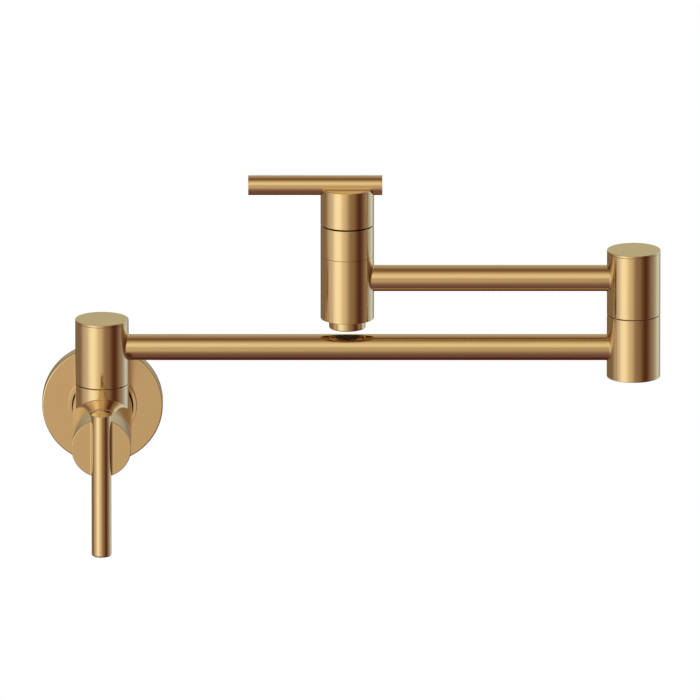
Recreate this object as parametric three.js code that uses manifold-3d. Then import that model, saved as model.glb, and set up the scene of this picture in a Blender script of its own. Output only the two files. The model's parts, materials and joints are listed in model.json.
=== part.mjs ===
// Wall mounted pot filler: a folding tap with two swivels and two quarter-turn valves.
// Millimetres, +Z up. The origin is the centre of the cover plate's back, on the inlet axis.
// The wall is the plane y = 0 and the tap stands out along -Y. At rest the lower arm runs
// along +X from the post to the elbow, and the upper arm comes back above it to the spout.
import * as THREE from 'three';
import { mergeVertices } from 'three/addons/utils/BufferGeometryUtils.js';
import Module from 'manifold-3d';

const wasm = await Module();
wasm.setup();

// ---- Reach and arms ----
const LOWER_ARM_REACH = 325;       // post axis to elbow axis
const UPPER_ARM_REACH = 175;       // elbow axis to spout axis
const POST_PROJECTION = 47;        // wall to post axis
const ARM_DIAMETER = 16;
const ARM_WALL = 1.5;
const SOCKET_DEPTH = 3;            // how deep an arm tube goes into a head
const BRAZE_GAP = 0.15;            // round a brazed or screwed-in piece

// ---- Swivels at post and elbow, stacked up from the moving seam ----
const HEAD_DIAMETER = 32.7;        // heads, stub and spout body
const SEAM_GAP = 0.4;              // visible running gap under a head
const LOWER_JOURNAL = 15.5;        // from the seam gap to the water chamber
const UPPER_JOURNAL = 4.8;         // above the water chamber
const CLIP_RECESS = 4.6;           // room for retaining washer and circlip
const CAP_THICKNESS = 1.5;
const CAP_SPIGOT_LENGTH = 1.8;
const CAP_SPIGOT_WALL = 1.2;
const CHAMBER_MARGIN = 0.5;        // chamber height beyond the arm's bore, each way
const HEAD_WALL = 4.35;            // round the water chamber
const SPINDLE_DIAMETER = 18;
const SPINDLE_BORE = 11;
const SPINDLE_ROOF = 7;            // solid metal above the spindle's bore
const RUNNING_CLEARANCE = 0.1;     // on the radius, wherever something turns
const THREAD_DIAMETER = 19.9;      // spindle's screwed foot
const THREAD_LENGTH = 9.9;
const WINDOW_WIDTH = 6;
const THRUST_WASHER_THICKNESS = 1.2;
const THRUST_WASHER_WIDTH = 4.6;
const WASHER_CLEARANCE = 0.3;      // on the radius, round a washer
const RETAINING_WASHER_THICKNESS = 1;
const RETAINING_WASHER_WIDTH = 3.4;
const CIRCLIP_THICKNESS = 1.1;
const CIRCLIP_WIDTH = 2.5;
const CIRCLIP_DEPTH = 1.2;         // groove depth in the spindle
const CIRCLIP_OPENING = 60;        // degrees left open
const SPINDLE_TIP = 0.8;           // spindle above the circlip groove
const SPINDLE_RING = 1.8;          // section of the swivel O-rings

// ---- Lower half of the elbow ----
const ELBOW_FLOOR = 11.3;          // solid metal under its bore
const ELBOW_THROAT = 4;            // between arm bore and screwed spindle
const ELBOW_BORE = 16;

// ---- Wall valve body ----
const VALVE_BODY_DIAMETER = 36.5;
const BODY_STANDOFF = 1.5;         // valve body's rear face off the wall
const INLET_DIAMETER = 18.9;       // pilot of the G1/2 inlet thread
const INLET_DEPTH = 15;
const INLET_CHAMFER = 1.2;
const INLET_WASHER_THICKNESS = 2;
const INLET_WASHER_BORE = 11;
const FILTER_THICKNESS = 0.6;
const FILTER_HOLE = 2.2;
const FILTER_PITCH = 3.4;
const WATERWAY = 11;
const STUB_ROOF = 1.8;             // metal between valve bore and the post spindle's foot
const POST_THROAT = 12;
const POST_ABOVE_SEAT = 6.8;       // post axis in front of the cartridge's seat

// ---- Cover plate ----
const PLATE_DIAMETER = 74;
const PLATE_THICKNESS = 9.4;
const PLATE_CHAMFER = 0.8;
const PLATE_POCKET_DEPTH = 6;
const PLATE_POCKET_DIAMETER = 52;
const HUB_OUTER_DIAMETER = 41.8;
const HUB_PROUD = 3.1;             // hub in front of the plate's face
const HUB_CLEARANCE = 0.6;         // shows as a dark line round the valve body
const PLATE_SCREW_DIAMETER = 2;
const PLATE_SCREW_LENGTH = 2.3;    // ends just under the hub's surface
const PLATE_SCREW_SOCKET = 1;      // across the corners
const PLATE_SCREW_SOCKET_DEPTH = 1;
const GASKET_THICKNESS = 1.5;
const GASKET_WIDTH = 4;
const GASKET_MIDDLE_DIAMETER = 61;
const SEAT_GAP = 0.1;              // between faces that are held together

// ---- Cartridge, measured up from its seat ----
const CHAMBER_LENGTH = 17;
const CHAMBER_DIAMETER = 22;
const CAVITY_DIAMETER = 25.2;
const CARTRIDGE_DIAMETER = 18;
const CARTRIDGE_WALL = 1.8;
const SEAL_HEIGHT = 2.4;
const SEAL_PROUD = 0.9;
const SEAL_WIDTH = 2.1;
const FIXED_DISC_THICKNESS = 3;
const TURNING_DISC_THICKNESS = 2.5;
const DISC_CLEARANCE = 0.05;
const DISC_SIDE_CLEARANCE = 0.2;   // lets the disc's corners turn past the flats round it
const DRIVE_HEIGHT = 4.3;
const DRIVE_WIDTH = 5;
const WINDOW_TALL = 5;
const CARTRIDGE_WINDOW = 9;
const LAND_LENGTH = 3.5;
const LAND_CLEARANCE = 0.2;
const BODY_RING = 1.75;            // section of the O-ring round a cartridge
const FLANGE_THICKNESS = 3;
const NUT_HEIGHT = 7;
const NUT_SLOT = 3;
const NUT_SLOT_DEPTH = 2.5;
const NECK_DIAMETER = 16;
const NECK_LENGTH = 18;
const NUT_TO_FRONT = 17.7;         // from the nut to the front of body or bonnet
const STEM_DIAMETER = 8;
const STEM_CLEARANCE = 0.15;
const STEM_RING = 1.2;             // section of the stem's O-ring
const STEM_FLAT = 0.6;             // depth of the flat under the grub screw
const STOP_LUG_WIDTH = 3;
const STOP_LUG_HEIGHT = 1.8;
const QUARTER_TURN = 90;           // degrees between closed and open

// ---- Spout ----
const SPOUT_ARM_ABOVE_SEAT = 11;
const SPOUT_BODY_ABOVE_CHAMBER = 8.5;
const BONNET_THREAD = 3.5;
const BONNET_THREAD_DIAMETER = 28.4;
const BONNET_ROOF = 2.8;
const BONNET_HOLE = 17;
const SPOUT_FOOT = 14.1;           // seat to the body's lower face
const AERATOR_SCREW_DEPTH = 6;
const AERATOR_DIAMETER = 22.3;
const AERATOR_HEIGHT = 6.2;
const AERATOR_THREAD = 18.8;
const AERATOR_SCREW = 4.5;
const AERATOR_BORE = 17;
const AERATOR_LIP = 0.9;
const AERATOR_ROUND = 0.8;
const AERATOR_WASHER = 1.4;
const AERATOR_WASHER_BORE = 11.2;
const INSERT_THICKNESS = 4.3;
const INSERT_HOLE = 2.2;
const INSERT_PITCH = 3.3;

// ---- Handles ----
const KNOB_GAP = 0.7;
const KNOB_LENGTH = 23.1;
const KNOB_WALL = 3;
const KNOB_FACE = 8.5;             // metal at the front, before the rod's groove
const KNOB_HUB_DIAMETER = 14;
const KNOB_HUB_LENGTH = 10;
const STEM_END_GAP = 0.5;
const ROD_DIAMETER = 12.1;
const ROD_PROUD = 1.3;             // rod's axis in front of the knob's face
const ROD_END_ROUND = 1.2;
const ROD_FIT = 0.15;
const WALL_LEVER_LONG = 67.4;
const WALL_LEVER_SHORT = 21.8;
const SPOUT_BAR_LONG = 60.5;
const SPOUT_BAR_SHORT = 21.4;
const ROD_SCREW_DIAMETER = 3;
const ROD_SCREW_HEAD = 5.5;
const ROD_SCREW_HEAD_HEIGHT = 2;
const ROD_SCREW_GRIP = 4;          // thread inside the rod
const GRUB_DIAMETER = 4;
const GRUB_LENGTH = 4.5;
const GRUB_SOCKET = 2;             // across the corners of the hexagon socket
const GRUB_SOCKET_DEPTH = 1.6;
const GRUB_ABOVE_REAR = 8.1;
const GRUB_ACCESS = 4.8;

// ---- How round the solids are ----
const ROUND = 24;
const SMALL_ROUND = 16;
const PLATE_ROUND = 36;
const RING_SIDES = 5;
const CUT = 1;                     // how far a cutter reaches past a face

// ---- Sizes that follow from the ones above ----
const armRadius = ARM_DIAMETER / 2;
const armBoreRadius = armRadius - ARM_WALL;
const headRadius = HEAD_DIAMETER / 2;
const spindleRadius = SPINDLE_DIAMETER / 2;
const spindleBoreRadius = SPINDLE_BORE / 2;
const journalRadius = spindleRadius + RUNNING_CLEARANCE;
const threadRadius = THREAD_DIAMETER / 2;
const chamberHalf = armBoreRadius + CHAMBER_MARGIN;
const chamberRadius = headRadius - HEAD_WALL;
const armAboveSeam = SEAM_GAP + LOWER_JOURNAL + chamberHalf;
const clipFloor = armAboveSeam + chamberHalf + UPPER_JOURNAL;
const capFloor = clipFloor + CLIP_RECESS;
const recessRadius = spindleRadius + RETAINING_WASHER_WIDTH + WASHER_CLEARANCE;
const valveBodyRadius = VALVE_BODY_DIAMETER / 2;
const cavityRadius = CAVITY_DIAMETER / 2;
const cartridgeBoreRadius = CARTRIDGE_DIAMETER / 2 - CARTRIDGE_WALL;
const discRadius = cartridgeBoreRadius - DISC_SIDE_CLEARANCE;
const stemRadius = STEM_DIAMETER / 2;
const stemBoreRadius = stemRadius + STEM_CLEARANCE;
const flangeFoot = CHAMBER_LENGTH;
const nutFoot = flangeFoot + FLANGE_THICKNESS;
const nutTop = nutFoot + NUT_HEIGHT;
const bodyFront = nutTop + NUT_TO_FRONT;
const knobRear = bodyFront + KNOB_GAP;
const knobFront = knobRear + KNOB_LENGTH;
const knobCeiling = knobFront - KNOB_FACE;
const rodRadius = ROD_DIAMETER / 2;
const rodAxis = knobFront + ROD_PROUD;
const hubRadius = KNOB_HUB_DIAMETER / 2;
const stubTop = cavityRadius + STUB_ROOF + THREAD_LENGTH;
const elbowFoot = -(chamberHalf + ELBOW_FLOOR);
const elbowTop = chamberHalf + ELBOW_THROAT + THREAD_LENGTH;
const lowerArmHeight = stubTop + armAboveSeam;
const elbowSeamHeight = lowerArmHeight + elbowTop;
const upperArmHeight = elbowSeamHeight + armAboveSeam;
const wallSeat = POST_PROJECTION - POST_ABOVE_SEAT;
const spoutBodyTop = CHAMBER_LENGTH + SPOUT_BODY_ABOVE_CHAMBER;
const neckTop = spoutBodyTop + BONNET_THREAD;

// ---- Finishes ----
const finish = (color, roughness, metalness) =>
  new THREE.MeshStandardMaterial({ color, roughness, metalness });
const brushedGold = finish(0xbd9865, 0.22, 1);
const rawBrass = finish(0xc9a750, 0.35, 1);
const stainless = finish(0xb9bbbd, 0.3, 1);
const springSteel = finish(0x55585c, 0.4, 1);
const rubber = finish(0x1c1c1d, 0.85, 0);
const acetal = finish(0xe9e7e0, 0.5, 0);
const darkAcetal = finish(0x303033, 0.5, 0);
const ceramic = finish(0xf4f2ec, 0.25, 0);

// ---- Solids ----

// Turns a closed three.js geometry into a solid whose faces point outwards.
function solid(geometry) {
  geometry.deleteAttribute('normal');
  geometry.deleteAttribute('uv');
  const merged = mergeVertices(geometry, 1e-4);
  const points = merged.attributes.position.array;
  const corners = merged.index.array;
  const faces = [];
  let volume = 0;
  for (let i = 0; i < corners.length; i += 3) {
    const [a, b, c] = corners.slice(i, i + 3);
    if (a === b || b === c || c === a) continue;
    faces.push([a, b, c]);
    const [ax, ay, az] = points.slice(3 * a, 3 * a + 3);
    const [bx, by, bz] = points.slice(3 * b, 3 * b + 3);
    const [cx, cy, cz] = points.slice(3 * c, 3 * c + 3);
    volume += ax * (by * cz - bz * cy) + ay * (bz * cx - bx * cz) + az * (bx * cy - by * cx);
  }
  const outward = volume > 0 ? faces : faces.map(([a, b, c]) => [a, c, b]);
  const mesh = new wasm.Mesh({
    numProp: 3,
    vertProperties: new Float32Array(points),
    triVerts: new Uint32Array(outward.flat()),
  });
  return new wasm.Manifold(mesh);
}

// A turned piece round Z from [radius, z] points, closed along the axis or on itself.
function turned(profile, sides = ROUND) {
  const points = profile.map(([radius, z]) => new THREE.Vector2(radius, z));
  const first = points[0];
  if (first.x > 0) points.push(first.clone());
  return solid(new THREE.LatheGeometry(points, sides).rotateX(Math.PI / 2));
}

// A round bar from z = low to z = high.
function bar(radius, low, high, sides = ROUND) {
  return turned([[0, low], [radius, low], [radius, high], [0, high]], sides);
}

// A flat ring or a sleeve from z = low to z = high.
function sleeve(inner, outer, low, high, sides = ROUND) {
  return turned([[inner, low], [outer, low], [outer, high], [inner, high]], sides);
}

// A rectangular block from its two opposite corners.
function block([x0, y0, z0], [x1, y1, z1]) {
  const box = new THREE.BoxGeometry(x1 - x0, y1 - y0, z1 - z0);
  return solid(box.translate((x0 + x1) / 2, (y0 + y1) / 2, (z0 + z1) / 2));
}

// An O-ring of round section lying in a groove: its inner radius, section and middle height.
function oRing(inner, section, z) {
  const ring = new THREE.TorusGeometry(inner + section / 2, section / 2, RING_SIDES, SMALL_ROUND);
  return solid(ring.translate(0, 0, z));
}

// Lays a solid that was made along +Z along +X or -X instead, raised to height z.
function alongX(shape, side, z) {
  return shape.rotate([0, 90 * side, 0]).translate([0, 0, z]);
}

// A hexagonal grid of round holes that stays inside the given radius.
function holeGrid(hole, pitch, limit, low, high) {
  const rows = Math.ceil(limit / pitch) + 1;
  const rowHeight = pitch * Math.sin(Math.PI / 3);
  const cutters = [];
  for (let row = -rows; row <= rows; row += 1) {
    for (let column = -rows; column <= rows; column += 1) {
      const x = (column + (row % 2 ? 0.5 : 0)) * pitch;
      const y = row * rowHeight;
      if (Math.hypot(x, y) + hole / 2 > limit) continue;
      cutters.push(bar(hole / 2, low, high, 6).translate([x, y, 0]));
    }
  }
  return wasm.Manifold.union(cutters);
}

// ---- The scene graph ----

function named(name, shape, material, group) {
  const { numProp, vertProperties, triVerts } = shape.getMesh();
  const geometry = new THREE.BufferGeometry();
  geometry.setAttribute('position', new THREE.BufferAttribute(new Float32Array(vertProperties), numProp));
  geometry.setIndex(new THREE.BufferAttribute(new Uint32Array(triVerts), 1));
  geometry.computeVertexNormals();
  const mesh = new THREE.Mesh(geometry, material);
  mesh.name = name;
  group.add(mesh);
}

const potFiller = new THREE.Group();
potFiller.name = 'pot_filler';

// A child group of the assembly at a point, optionally turned.
function frameAt(x, y, z) {
  const group = new THREE.Group();
  group.position.set(x, y, z);
  potFiller.add(group);
  return group;
}

// ---- Swivel: screwed spindle, seals, retainer, and the head that turns on it ----
// Local frame: +Z up the spindle, z = 0 at the moving seam on top of the fixed half.

function spindle() {
  const clipLow = clipFloor + RETAINING_WASHER_THICKNESS + 2 * SEAT_GAP;
  const clipHigh = clipLow + CIRCLIP_THICKNESS + SEAT_GAP;
  const top = clipHigh + SPINDLE_TIP;
  const grooveFloor = spindleRadius - SPINDLE_RING - SEAT_GAP / 2;
  let shape = turned([
    [0, SEAT_GAP - THREAD_LENGTH],
    [threadRadius, SEAT_GAP - THREAD_LENGTH],
    [threadRadius, 0],
    [spindleRadius, 0],
    [spindleRadius, clipLow],
    [spindleRadius - CIRCLIP_DEPTH, clipLow],
    [spindleRadius - CIRCLIP_DEPTH, clipHigh],
    [spindleRadius, clipHigh],
    [spindleRadius, top],
    [0, top],
  ], SMALL_ROUND);
  for (const z of ringHeights()) {
    const half = SPINDLE_RING / 2 + SEAT_GAP;
    shape = shape.subtract(sleeve(grooveFloor, spindleRadius + CUT, z - half, z + half, SMALL_ROUND));
  }
  const boreTop = top - SPINDLE_ROOF;
  shape = shape.subtract(bar(spindleBoreRadius, -THREAD_LENGTH - CUT, boreTop, SMALL_ROUND));
  const windowLow = armAboveSeam - chamberHalf + CHAMBER_MARGIN;
  const windowHigh = boreTop - 2 * CHAMBER_MARGIN;
  const far = spindleRadius + CUT;
  const half = WINDOW_WIDTH / 2;
  return shape.subtract(block([-far, -half, windowLow], [far, half, windowHigh]));
}

// Heights of the two O-rings: in the middle of the lower and the upper journal.
function ringHeights() {
  const lower = SEAM_GAP + LOWER_JOURNAL / 2;
  const upper = clipFloor - UPPER_JOURNAL / 2;
  return [lower, upper];
}

function circlip() {
  const inner = spindleRadius - CIRCLIP_DEPTH + SEAT_GAP;
  const outer = inner + CIRCLIP_WIDTH;
  const open = THREE.MathUtils.degToRad(CIRCLIP_OPENING / 2);
  const outline = new THREE.Shape();
  outline.absarc(0, 0, outer, open, 2 * Math.PI - open, false);
  outline.absarc(0, 0, inner, 2 * Math.PI - open, open, true);
  const depth = CIRCLIP_THICKNESS;
  const ring = new THREE.ExtrudeGeometry(outline, { depth, bevelEnabled: false, curveSegments: 8 });
  const low = clipFloor + RETAINING_WASHER_THICKNESS + 2.5 * SEAT_GAP;
  return solid(ring.translate(0, 0, low));
}

// The socket that an arm tube is brazed into, and its waterway, along +X or -X.
function armSocket(side, z, outerRadius, waterFrom) {
  const shoulder = outerRadius - SOCKET_DEPTH - SEAT_GAP;
  const socket = bar(armRadius + BRAZE_GAP, shoulder, outerRadius + CUT);
  const waterway = bar(armBoreRadius, waterFrom, shoulder + CUT);
  return alongX(socket.add(waterway), side, z);
}

function swivelHead(side) {
  const bottom = SEAM_GAP;
  const washerTop = THRUST_WASHER_THICKNESS + SEAT_GAP;
  const washerRadius = threadRadius + THRUST_WASHER_WIDTH;
  const chamberLow = armAboveSeam - chamberHalf;
  const chamberHigh = armAboveSeam + chamberHalf;
  const shell = turned([
    [washerRadius, bottom],
    [headRadius, bottom],
    [headRadius, capFloor],
    [recessRadius, capFloor],
    [recessRadius, clipFloor],
    [journalRadius, clipFloor],
    [journalRadius, chamberHigh],
    [chamberRadius, chamberHigh],
    [chamberRadius, chamberLow],
    [journalRadius, chamberLow],
    [journalRadius, washerTop],
    [washerRadius, washerTop],
  ]);
  const waterFrom = journalRadius + CHAMBER_MARGIN;
  return shell.subtract(armSocket(side, armAboveSeam, headRadius, waterFrom));
}

function swivelCap() {
  const spigotRadius = recessRadius - RUNNING_CLEARANCE;
  const foot = capFloor - CAP_SPIGOT_LENGTH;
  const top = capFloor + CAP_THICKNESS;
  const underside = capFloor + SEAT_GAP;
  return turned([
    [0, underside],
    [spigotRadius - CAP_SPIGOT_WALL, underside],
    [spigotRadius - CAP_SPIGOT_WALL, foot],
    [spigotRadius, foot],
    [spigotRadius, underside],
    [headRadius, underside],
    [headRadius, top],
    [0, top],
  ]);
}

function addSwivel(prefix, headName, group, side) {
  const washerFoot = threadRadius + SEAT_GAP;
  const retainerFoot = clipFloor + SEAT_GAP / 2;
  const retainerTop = retainerFoot + RETAINING_WASHER_THICKNESS;
  const retainerRadius = spindleRadius + RETAINING_WASHER_WIDTH;
  const ringInner = spindleRadius - SPINDLE_RING;
  const [lowRing, highRing] = ringHeights();
  named(`${prefix}_spindle`, spindle(), rawBrass, group);
  const thrustWasher = sleeve(
    washerFoot,
    threadRadius + THRUST_WASHER_WIDTH - WASHER_CLEARANCE,
    SEAT_GAP / 2,
    THRUST_WASHER_THICKNESS,
    SMALL_ROUND,
  );
  named(`${prefix}_thrust_washer`, thrustWasher, acetal, group);
  named(`${prefix}_o_ring_lower`, oRing(ringInner, SPINDLE_RING, lowRing), rubber, group);
  named(`${prefix}_o_ring_upper`, oRing(ringInner, SPINDLE_RING, highRing), rubber, group);
  const retainer = sleeve(journalRadius, retainerRadius, retainerFoot, retainerTop, SMALL_ROUND);
  named(`${prefix}_retaining_washer`, retainer, acetal, group);
  named(`${prefix}_circlip`, circlip(), springSteel, group);
  named(headName, swivelHead(side), brushedGold, group);
  named(`${prefix}_cap`, swivelCap(), brushedGold, group);
}

// ---- Cartridge: local frame with z = 0 at its seat and +Z towards the handle ----

const sealFoot = SEAT_GAP;
const fixedDiscFoot = sealFoot + SEAL_HEIGHT + SEAT_GAP;
const turningDiscFoot = fixedDiscFoot + FIXED_DISC_THICKNESS + DISC_CLEARANCE;
const driveFoot = turningDiscFoot + TURNING_DISC_THICKNESS + SEAT_GAP;
const driveTop = driveFoot + DRIVE_HEIGHT;
const bearingFoot = driveTop + SEAT_GAP;
const neckEnd = nutFoot + NECK_LENGTH;
const lugFoot = neckEnd - STOP_LUG_HEIGHT;
const landFoot = CHAMBER_LENGTH - LAND_LENGTH;
const bodyRingHeight = landFoot + LAND_LENGTH / 2;
const stemRingHeight = nutFoot + NUT_HEIGHT / 2;

// A wedge from the axis out, between two angles in degrees, as a cutter.
function wedge(radius, from, to, low, high) {
  const a = THREE.MathUtils.degToRad(from);
  const b = THREE.MathUtils.degToRad(to);
  const outline = new THREE.Shape();
  outline.moveTo(0, 0);
  outline.lineTo(radius * Math.cos(a), radius * Math.sin(a));
  outline.absarc(0, 0, radius, a, b, false);
  const depth = high - low;
  const slice = new THREE.ExtrudeGeometry(outline, { depth, bevelEnabled: false, curveSegments: 6 });
  return solid(slice.translate(0, 0, low));
}

// The angle that the stop lug takes up at the neck's radius, with its clearance.
function lugAngle() {
  const across = STOP_LUG_WIDTH / 2 + STEM_CLEARANCE;
  return THREE.MathUtils.radToDeg(Math.asin(across / stemBoreRadius));
}

function cartridgeBody() {
  const outer = CARTRIDGE_DIAMETER / 2;
  const land = CHAMBER_DIAMETER / 2 - LAND_CLEARANCE;
  const flange = cavityRadius - LAND_CLEARANCE;
  const neck = NECK_DIAMETER / 2;
  const foot = sealFoot + SEAL_PROUD;
  const grooveHalf = BODY_RING / 2 + SEAT_GAP;
  const grooveDepth = BODY_RING + SEAT_GAP - LAND_CLEARANCE;
  const shell = turned([
    [cartridgeBoreRadius, foot],
    [outer, foot],
    [outer, landFoot],
    [land, landFoot],
    [land, bodyRingHeight - grooveHalf],
    [land - grooveDepth, bodyRingHeight - grooveHalf],
    [land - grooveDepth, bodyRingHeight + grooveHalf],
    [land, bodyRingHeight + grooveHalf],
    [land, flangeFoot + SEAT_GAP],
    [flange, flangeFoot + SEAT_GAP],
    [flange, nutFoot],
    [neck, nutFoot],
    [neck, neckEnd],
    [stemBoreRadius, neckEnd],
    [stemBoreRadius, bearingFoot],
    [cartridgeBoreRadius, bearingFoot],
  ], SMALL_ROUND);
  const windowTop = driveTop;
  const windowFoot = windowTop - WINDOW_TALL;
  const half = CARTRIDGE_WINDOW / 2;
  const windows = block([-outer - CUT, -half, windowFoot], [outer + CUT, half, windowTop]);
  const spread = lugAngle();
  const stopFrom = 180 - spread;
  const stopTo = 180 + QUARTER_TURN + spread;
  const stop = wedge(neck + CUT, stopFrom, stopTo, lugFoot - SEAT_GAP, neckEnd + CUT);
  return shell.subtract(windows).subtract(stop);
}

// A ceramic disc with two ports opposite each other, centred on the given direction.
function disc(low, thickness, direction) {
  const high = low + thickness;
  const ports = [0, 180].map((turn) => {
    const from = direction + turn - 35;
    return wedge(discRadius * 0.8, from, from + 70, low - CUT, high + CUT);
  });
  const web = bar(discRadius * 0.25, low - CUT, high + CUT, SMALL_ROUND);
  const openings = ports[0].add(ports[1]).subtract(web);
  return bar(discRadius, low, high, SMALL_ROUND).subtract(openings);
}

// The stem: drive bar on the turning disc, groove, stop lug, and a flat for the grub screw.
function stem(flatDirection) {
  const top = knobCeiling - STEM_END_GAP;
  const grooveHalf = STEM_RING / 2 + SEAT_GAP;
  const grooveDepth = STEM_RING + SEAT_GAP - STEM_CLEARANCE;
  const shaft = turned([
    [0, driveTop - CUT],
    [stemRadius, driveTop - CUT],
    [stemRadius, stemRingHeight - grooveHalf],
    [stemRadius - grooveDepth, stemRingHeight - grooveHalf],
    [stemRadius - grooveDepth, stemRingHeight + grooveHalf],
    [stemRadius, stemRingHeight + grooveHalf],
    [stemRadius, top],
    [0, top],
  ], SMALL_ROUND);
  const reach = cartridgeBoreRadius - 3 * SEAT_GAP;
  const driveLength = Math.sqrt(reach ** 2 - (DRIVE_WIDTH / 2) ** 2);
  const half = DRIVE_WIDTH / 2;
  const drive = block([-driveLength, -half, driveFoot], [driveLength, half, driveTop]);
  const lugLength = NECK_DIAMETER / 2;
  const lugTop = lugFoot + STOP_LUG_HEIGHT;
  const lug = block([-lugLength, -STOP_LUG_WIDTH / 2, lugFoot], [0, STOP_LUG_WIDTH / 2, lugTop]);
  const flatFoot = knobRear;
  const flat = block([stemRadius - STEM_FLAT, -stemRadius, flatFoot], [stemRadius + CUT, stemRadius, top + CUT]);
  return shaft.add(drive).add(lug).subtract(flat.rotate([0, 0, flatDirection]));
}

function cartridgeNut() {
  const inner = NECK_DIAMETER / 2 + LAND_CLEARANCE;
  const outer = cavityRadius - LAND_CLEARANCE;
  const ring = sleeve(inner, outer, nutFoot + SEAT_GAP, nutTop, SMALL_ROUND);
  const low = nutTop - NUT_SLOT_DEPTH;
  const slot = block([-outer - CUT, -NUT_SLOT / 2, low], [outer + CUT, NUT_SLOT / 2, nutTop + CUT]);
  return ring.subtract(slot);
}

function addCartridge(prefix, group) {
  const sealRadius = cartridgeBoreRadius - SEAT_GAP;
  const seal = sleeve(sealRadius - SEAL_WIDTH, sealRadius, sealFoot, sealFoot + SEAL_HEIGHT, SMALL_ROUND);
  const bodyRingInner = CHAMBER_DIAMETER / 2 - BODY_RING - SEAT_GAP / 2;
  named(`${prefix}_cartridge_body`, cartridgeBody(), rawBrass, group);
  named(`${prefix}_cartridge_seal`, seal, rubber, group);
  named(`${prefix}_cartridge_o_ring`, oRing(bodyRingInner, BODY_RING, bodyRingHeight), rubber, group);
  named(`${prefix}_fixed_disc`, disc(fixedDiscFoot, FIXED_DISC_THICKNESS, 0), ceramic, group);
  named(`${prefix}_cartridge_nut`, cartridgeNut(), rawBrass, group);
}

// ---- Handle: knob, rod across its face, stem and screws, in the cartridge's frame ----

// Points of a quarter round between the side at the given radius and the end at z.
function roundedEdge(radius, z, round) {
  if (round === 0) return [[radius, z]];
  return [0, 1, 2, 3].map((i) => {
    const turn = (i / 3) * (Math.PI / 2);
    return [radius - round * (1 - Math.cos(turn)), z - round * (1 - Math.sin(turn))];
  });
}

// A straight rod across the knob, long side towards -X.
function rod(long, short, longEndRound) {
  const profile = [[0, -short], [rodRadius, -short], ...roundedEdge(rodRadius, long, longEndRound), [0, long]];
  return alongX(turned(profile), -1, rodAxis);
}

// Where the rod's screws go, each side of the knob's hub.
function rodScrewOffset(knobRadius) {
  return (hubRadius + knobRadius - KNOB_WALL) / 2;
}

function rodScrew(x) {
  const headFoot = knobCeiling - ROD_SCREW_HEAD_HEIGHT - SEAT_GAP;
  const headTop = knobCeiling - SEAT_GAP;
  const tip = rodAxis - rodRadius + ROD_SCREW_GRIP;
  const head = bar(ROD_SCREW_HEAD / 2, headFoot, headTop, SMALL_ROUND);
  const shank = bar(ROD_SCREW_DIAMETER / 2, headTop - CUT, tip, SMALL_ROUND);
  const socket = bar(ROD_SCREW_DIAMETER / 2, headFoot - CUT, headFoot + ROD_SCREW_HEAD_HEIGHT / 2, 6);
  return head.add(shank).subtract(socket).translate([x, 0, 0]);
}

function rodScrewHoles(knobRadius) {
  const offset = rodScrewOffset(knobRadius);
  const tip = rodAxis - rodRadius + ROD_SCREW_GRIP + SEAT_GAP;
  const hole = bar(ROD_SCREW_DIAMETER / 2 + ROD_FIT, knobCeiling - CUT, tip, SMALL_ROUND);
  return hole.translate([-offset, 0, 0]).add(hole.translate([offset, 0, 0]));
}

// A grub screw along +Z from its inner end outwards, with a hexagon socket in the outer end.
function grubScrew({ inner, diameter, length, across, depth }) {
  const outer = inner + length;
  const body = bar(diameter / 2, inner, outer, SMALL_ROUND);
  const socket = bar(across / 2, outer - depth, outer + CUT, 6);
  return body.subtract(socket);
}

function knob(knobRadius, grubDirection) {
  const cavity = knobRadius - KNOB_WALL;
  const hubFoot = knobCeiling - KNOB_HUB_LENGTH;
  const shell = turned([
    [0, knobCeiling],
    [stemBoreRadius, knobCeiling],
    [stemBoreRadius, hubFoot],
    [hubRadius, hubFoot],
    [hubRadius, knobCeiling],
    [cavity, knobCeiling],
    [cavity, knobRear],
    [knobRadius, knobRear],
    [knobRadius, knobFront],
    [0, knobFront],
  ]);
  const groove = bar(rodRadius + ROD_FIT, -knobRadius - CUT, knobRadius + CUT);
  const grubHole = bar(GRUB_DIAMETER / 2 + ROD_FIT, 0, hubRadius + CUT, SMALL_ROUND);
  const access = bar(GRUB_ACCESS / 2, hubRadius, knobRadius + CUT, SMALL_ROUND);
  const grubHeight = knobRear + GRUB_ABOVE_REAR;
  const drilled = alongX(grubHole.add(access), 1, grubHeight).rotate([0, 0, grubDirection]);
  return shell
    .subtract(alongX(groove, 1, rodAxis))
    .subtract(rodScrewHoles(knobRadius))
    .subtract(drilled);
}

function addHandle({ prefix, rodName, group, knobRadius, long, short, endRound, grubDirection }) {
  const offset = rodScrewOffset(knobRadius);
  const stemRingInner = stemBoreRadius - STEM_RING - SEAT_GAP / 2;
  const grub = grubScrew({
    inner: stemRadius - STEM_FLAT + SEAT_GAP,
    diameter: GRUB_DIAMETER,
    length: GRUB_LENGTH,
    across: GRUB_SOCKET,
    depth: GRUB_SOCKET_DEPTH,
  });
  const grubHeight = knobRear + GRUB_ABOVE_REAR;
  const grubPlaced = alongX(grub, 1, grubHeight).rotate([0, 0, grubDirection]);
  const rodShape = rod(long, short, endRound).subtract(rodScrewHoles(knobRadius));
  named(`${prefix}_turning_disc`, disc(turningDiscFoot, TURNING_DISC_THICKNESS, QUARTER_TURN), ceramic, group);
  named(`${prefix}_stem`, stem(grubDirection), rawBrass, group);
  named(`${prefix}_stem_o_ring`, oRing(stemRingInner, STEM_RING, stemRingHeight), rubber, group);
  named(`${prefix}_knob`, knob(knobRadius, grubDirection), brushedGold, group);
  named(`${prefix}_${rodName}`, rodShape, brushedGold, group);
  named(`${prefix}_${rodName}_screw_a`, rodScrew(-offset), stainless, group);
  named(`${prefix}_${rodName}_screw_b`, rodScrew(offset), stainless, group);
  named(`${prefix}_knob_screw`, grubPlaced, stainless, group);
}

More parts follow.
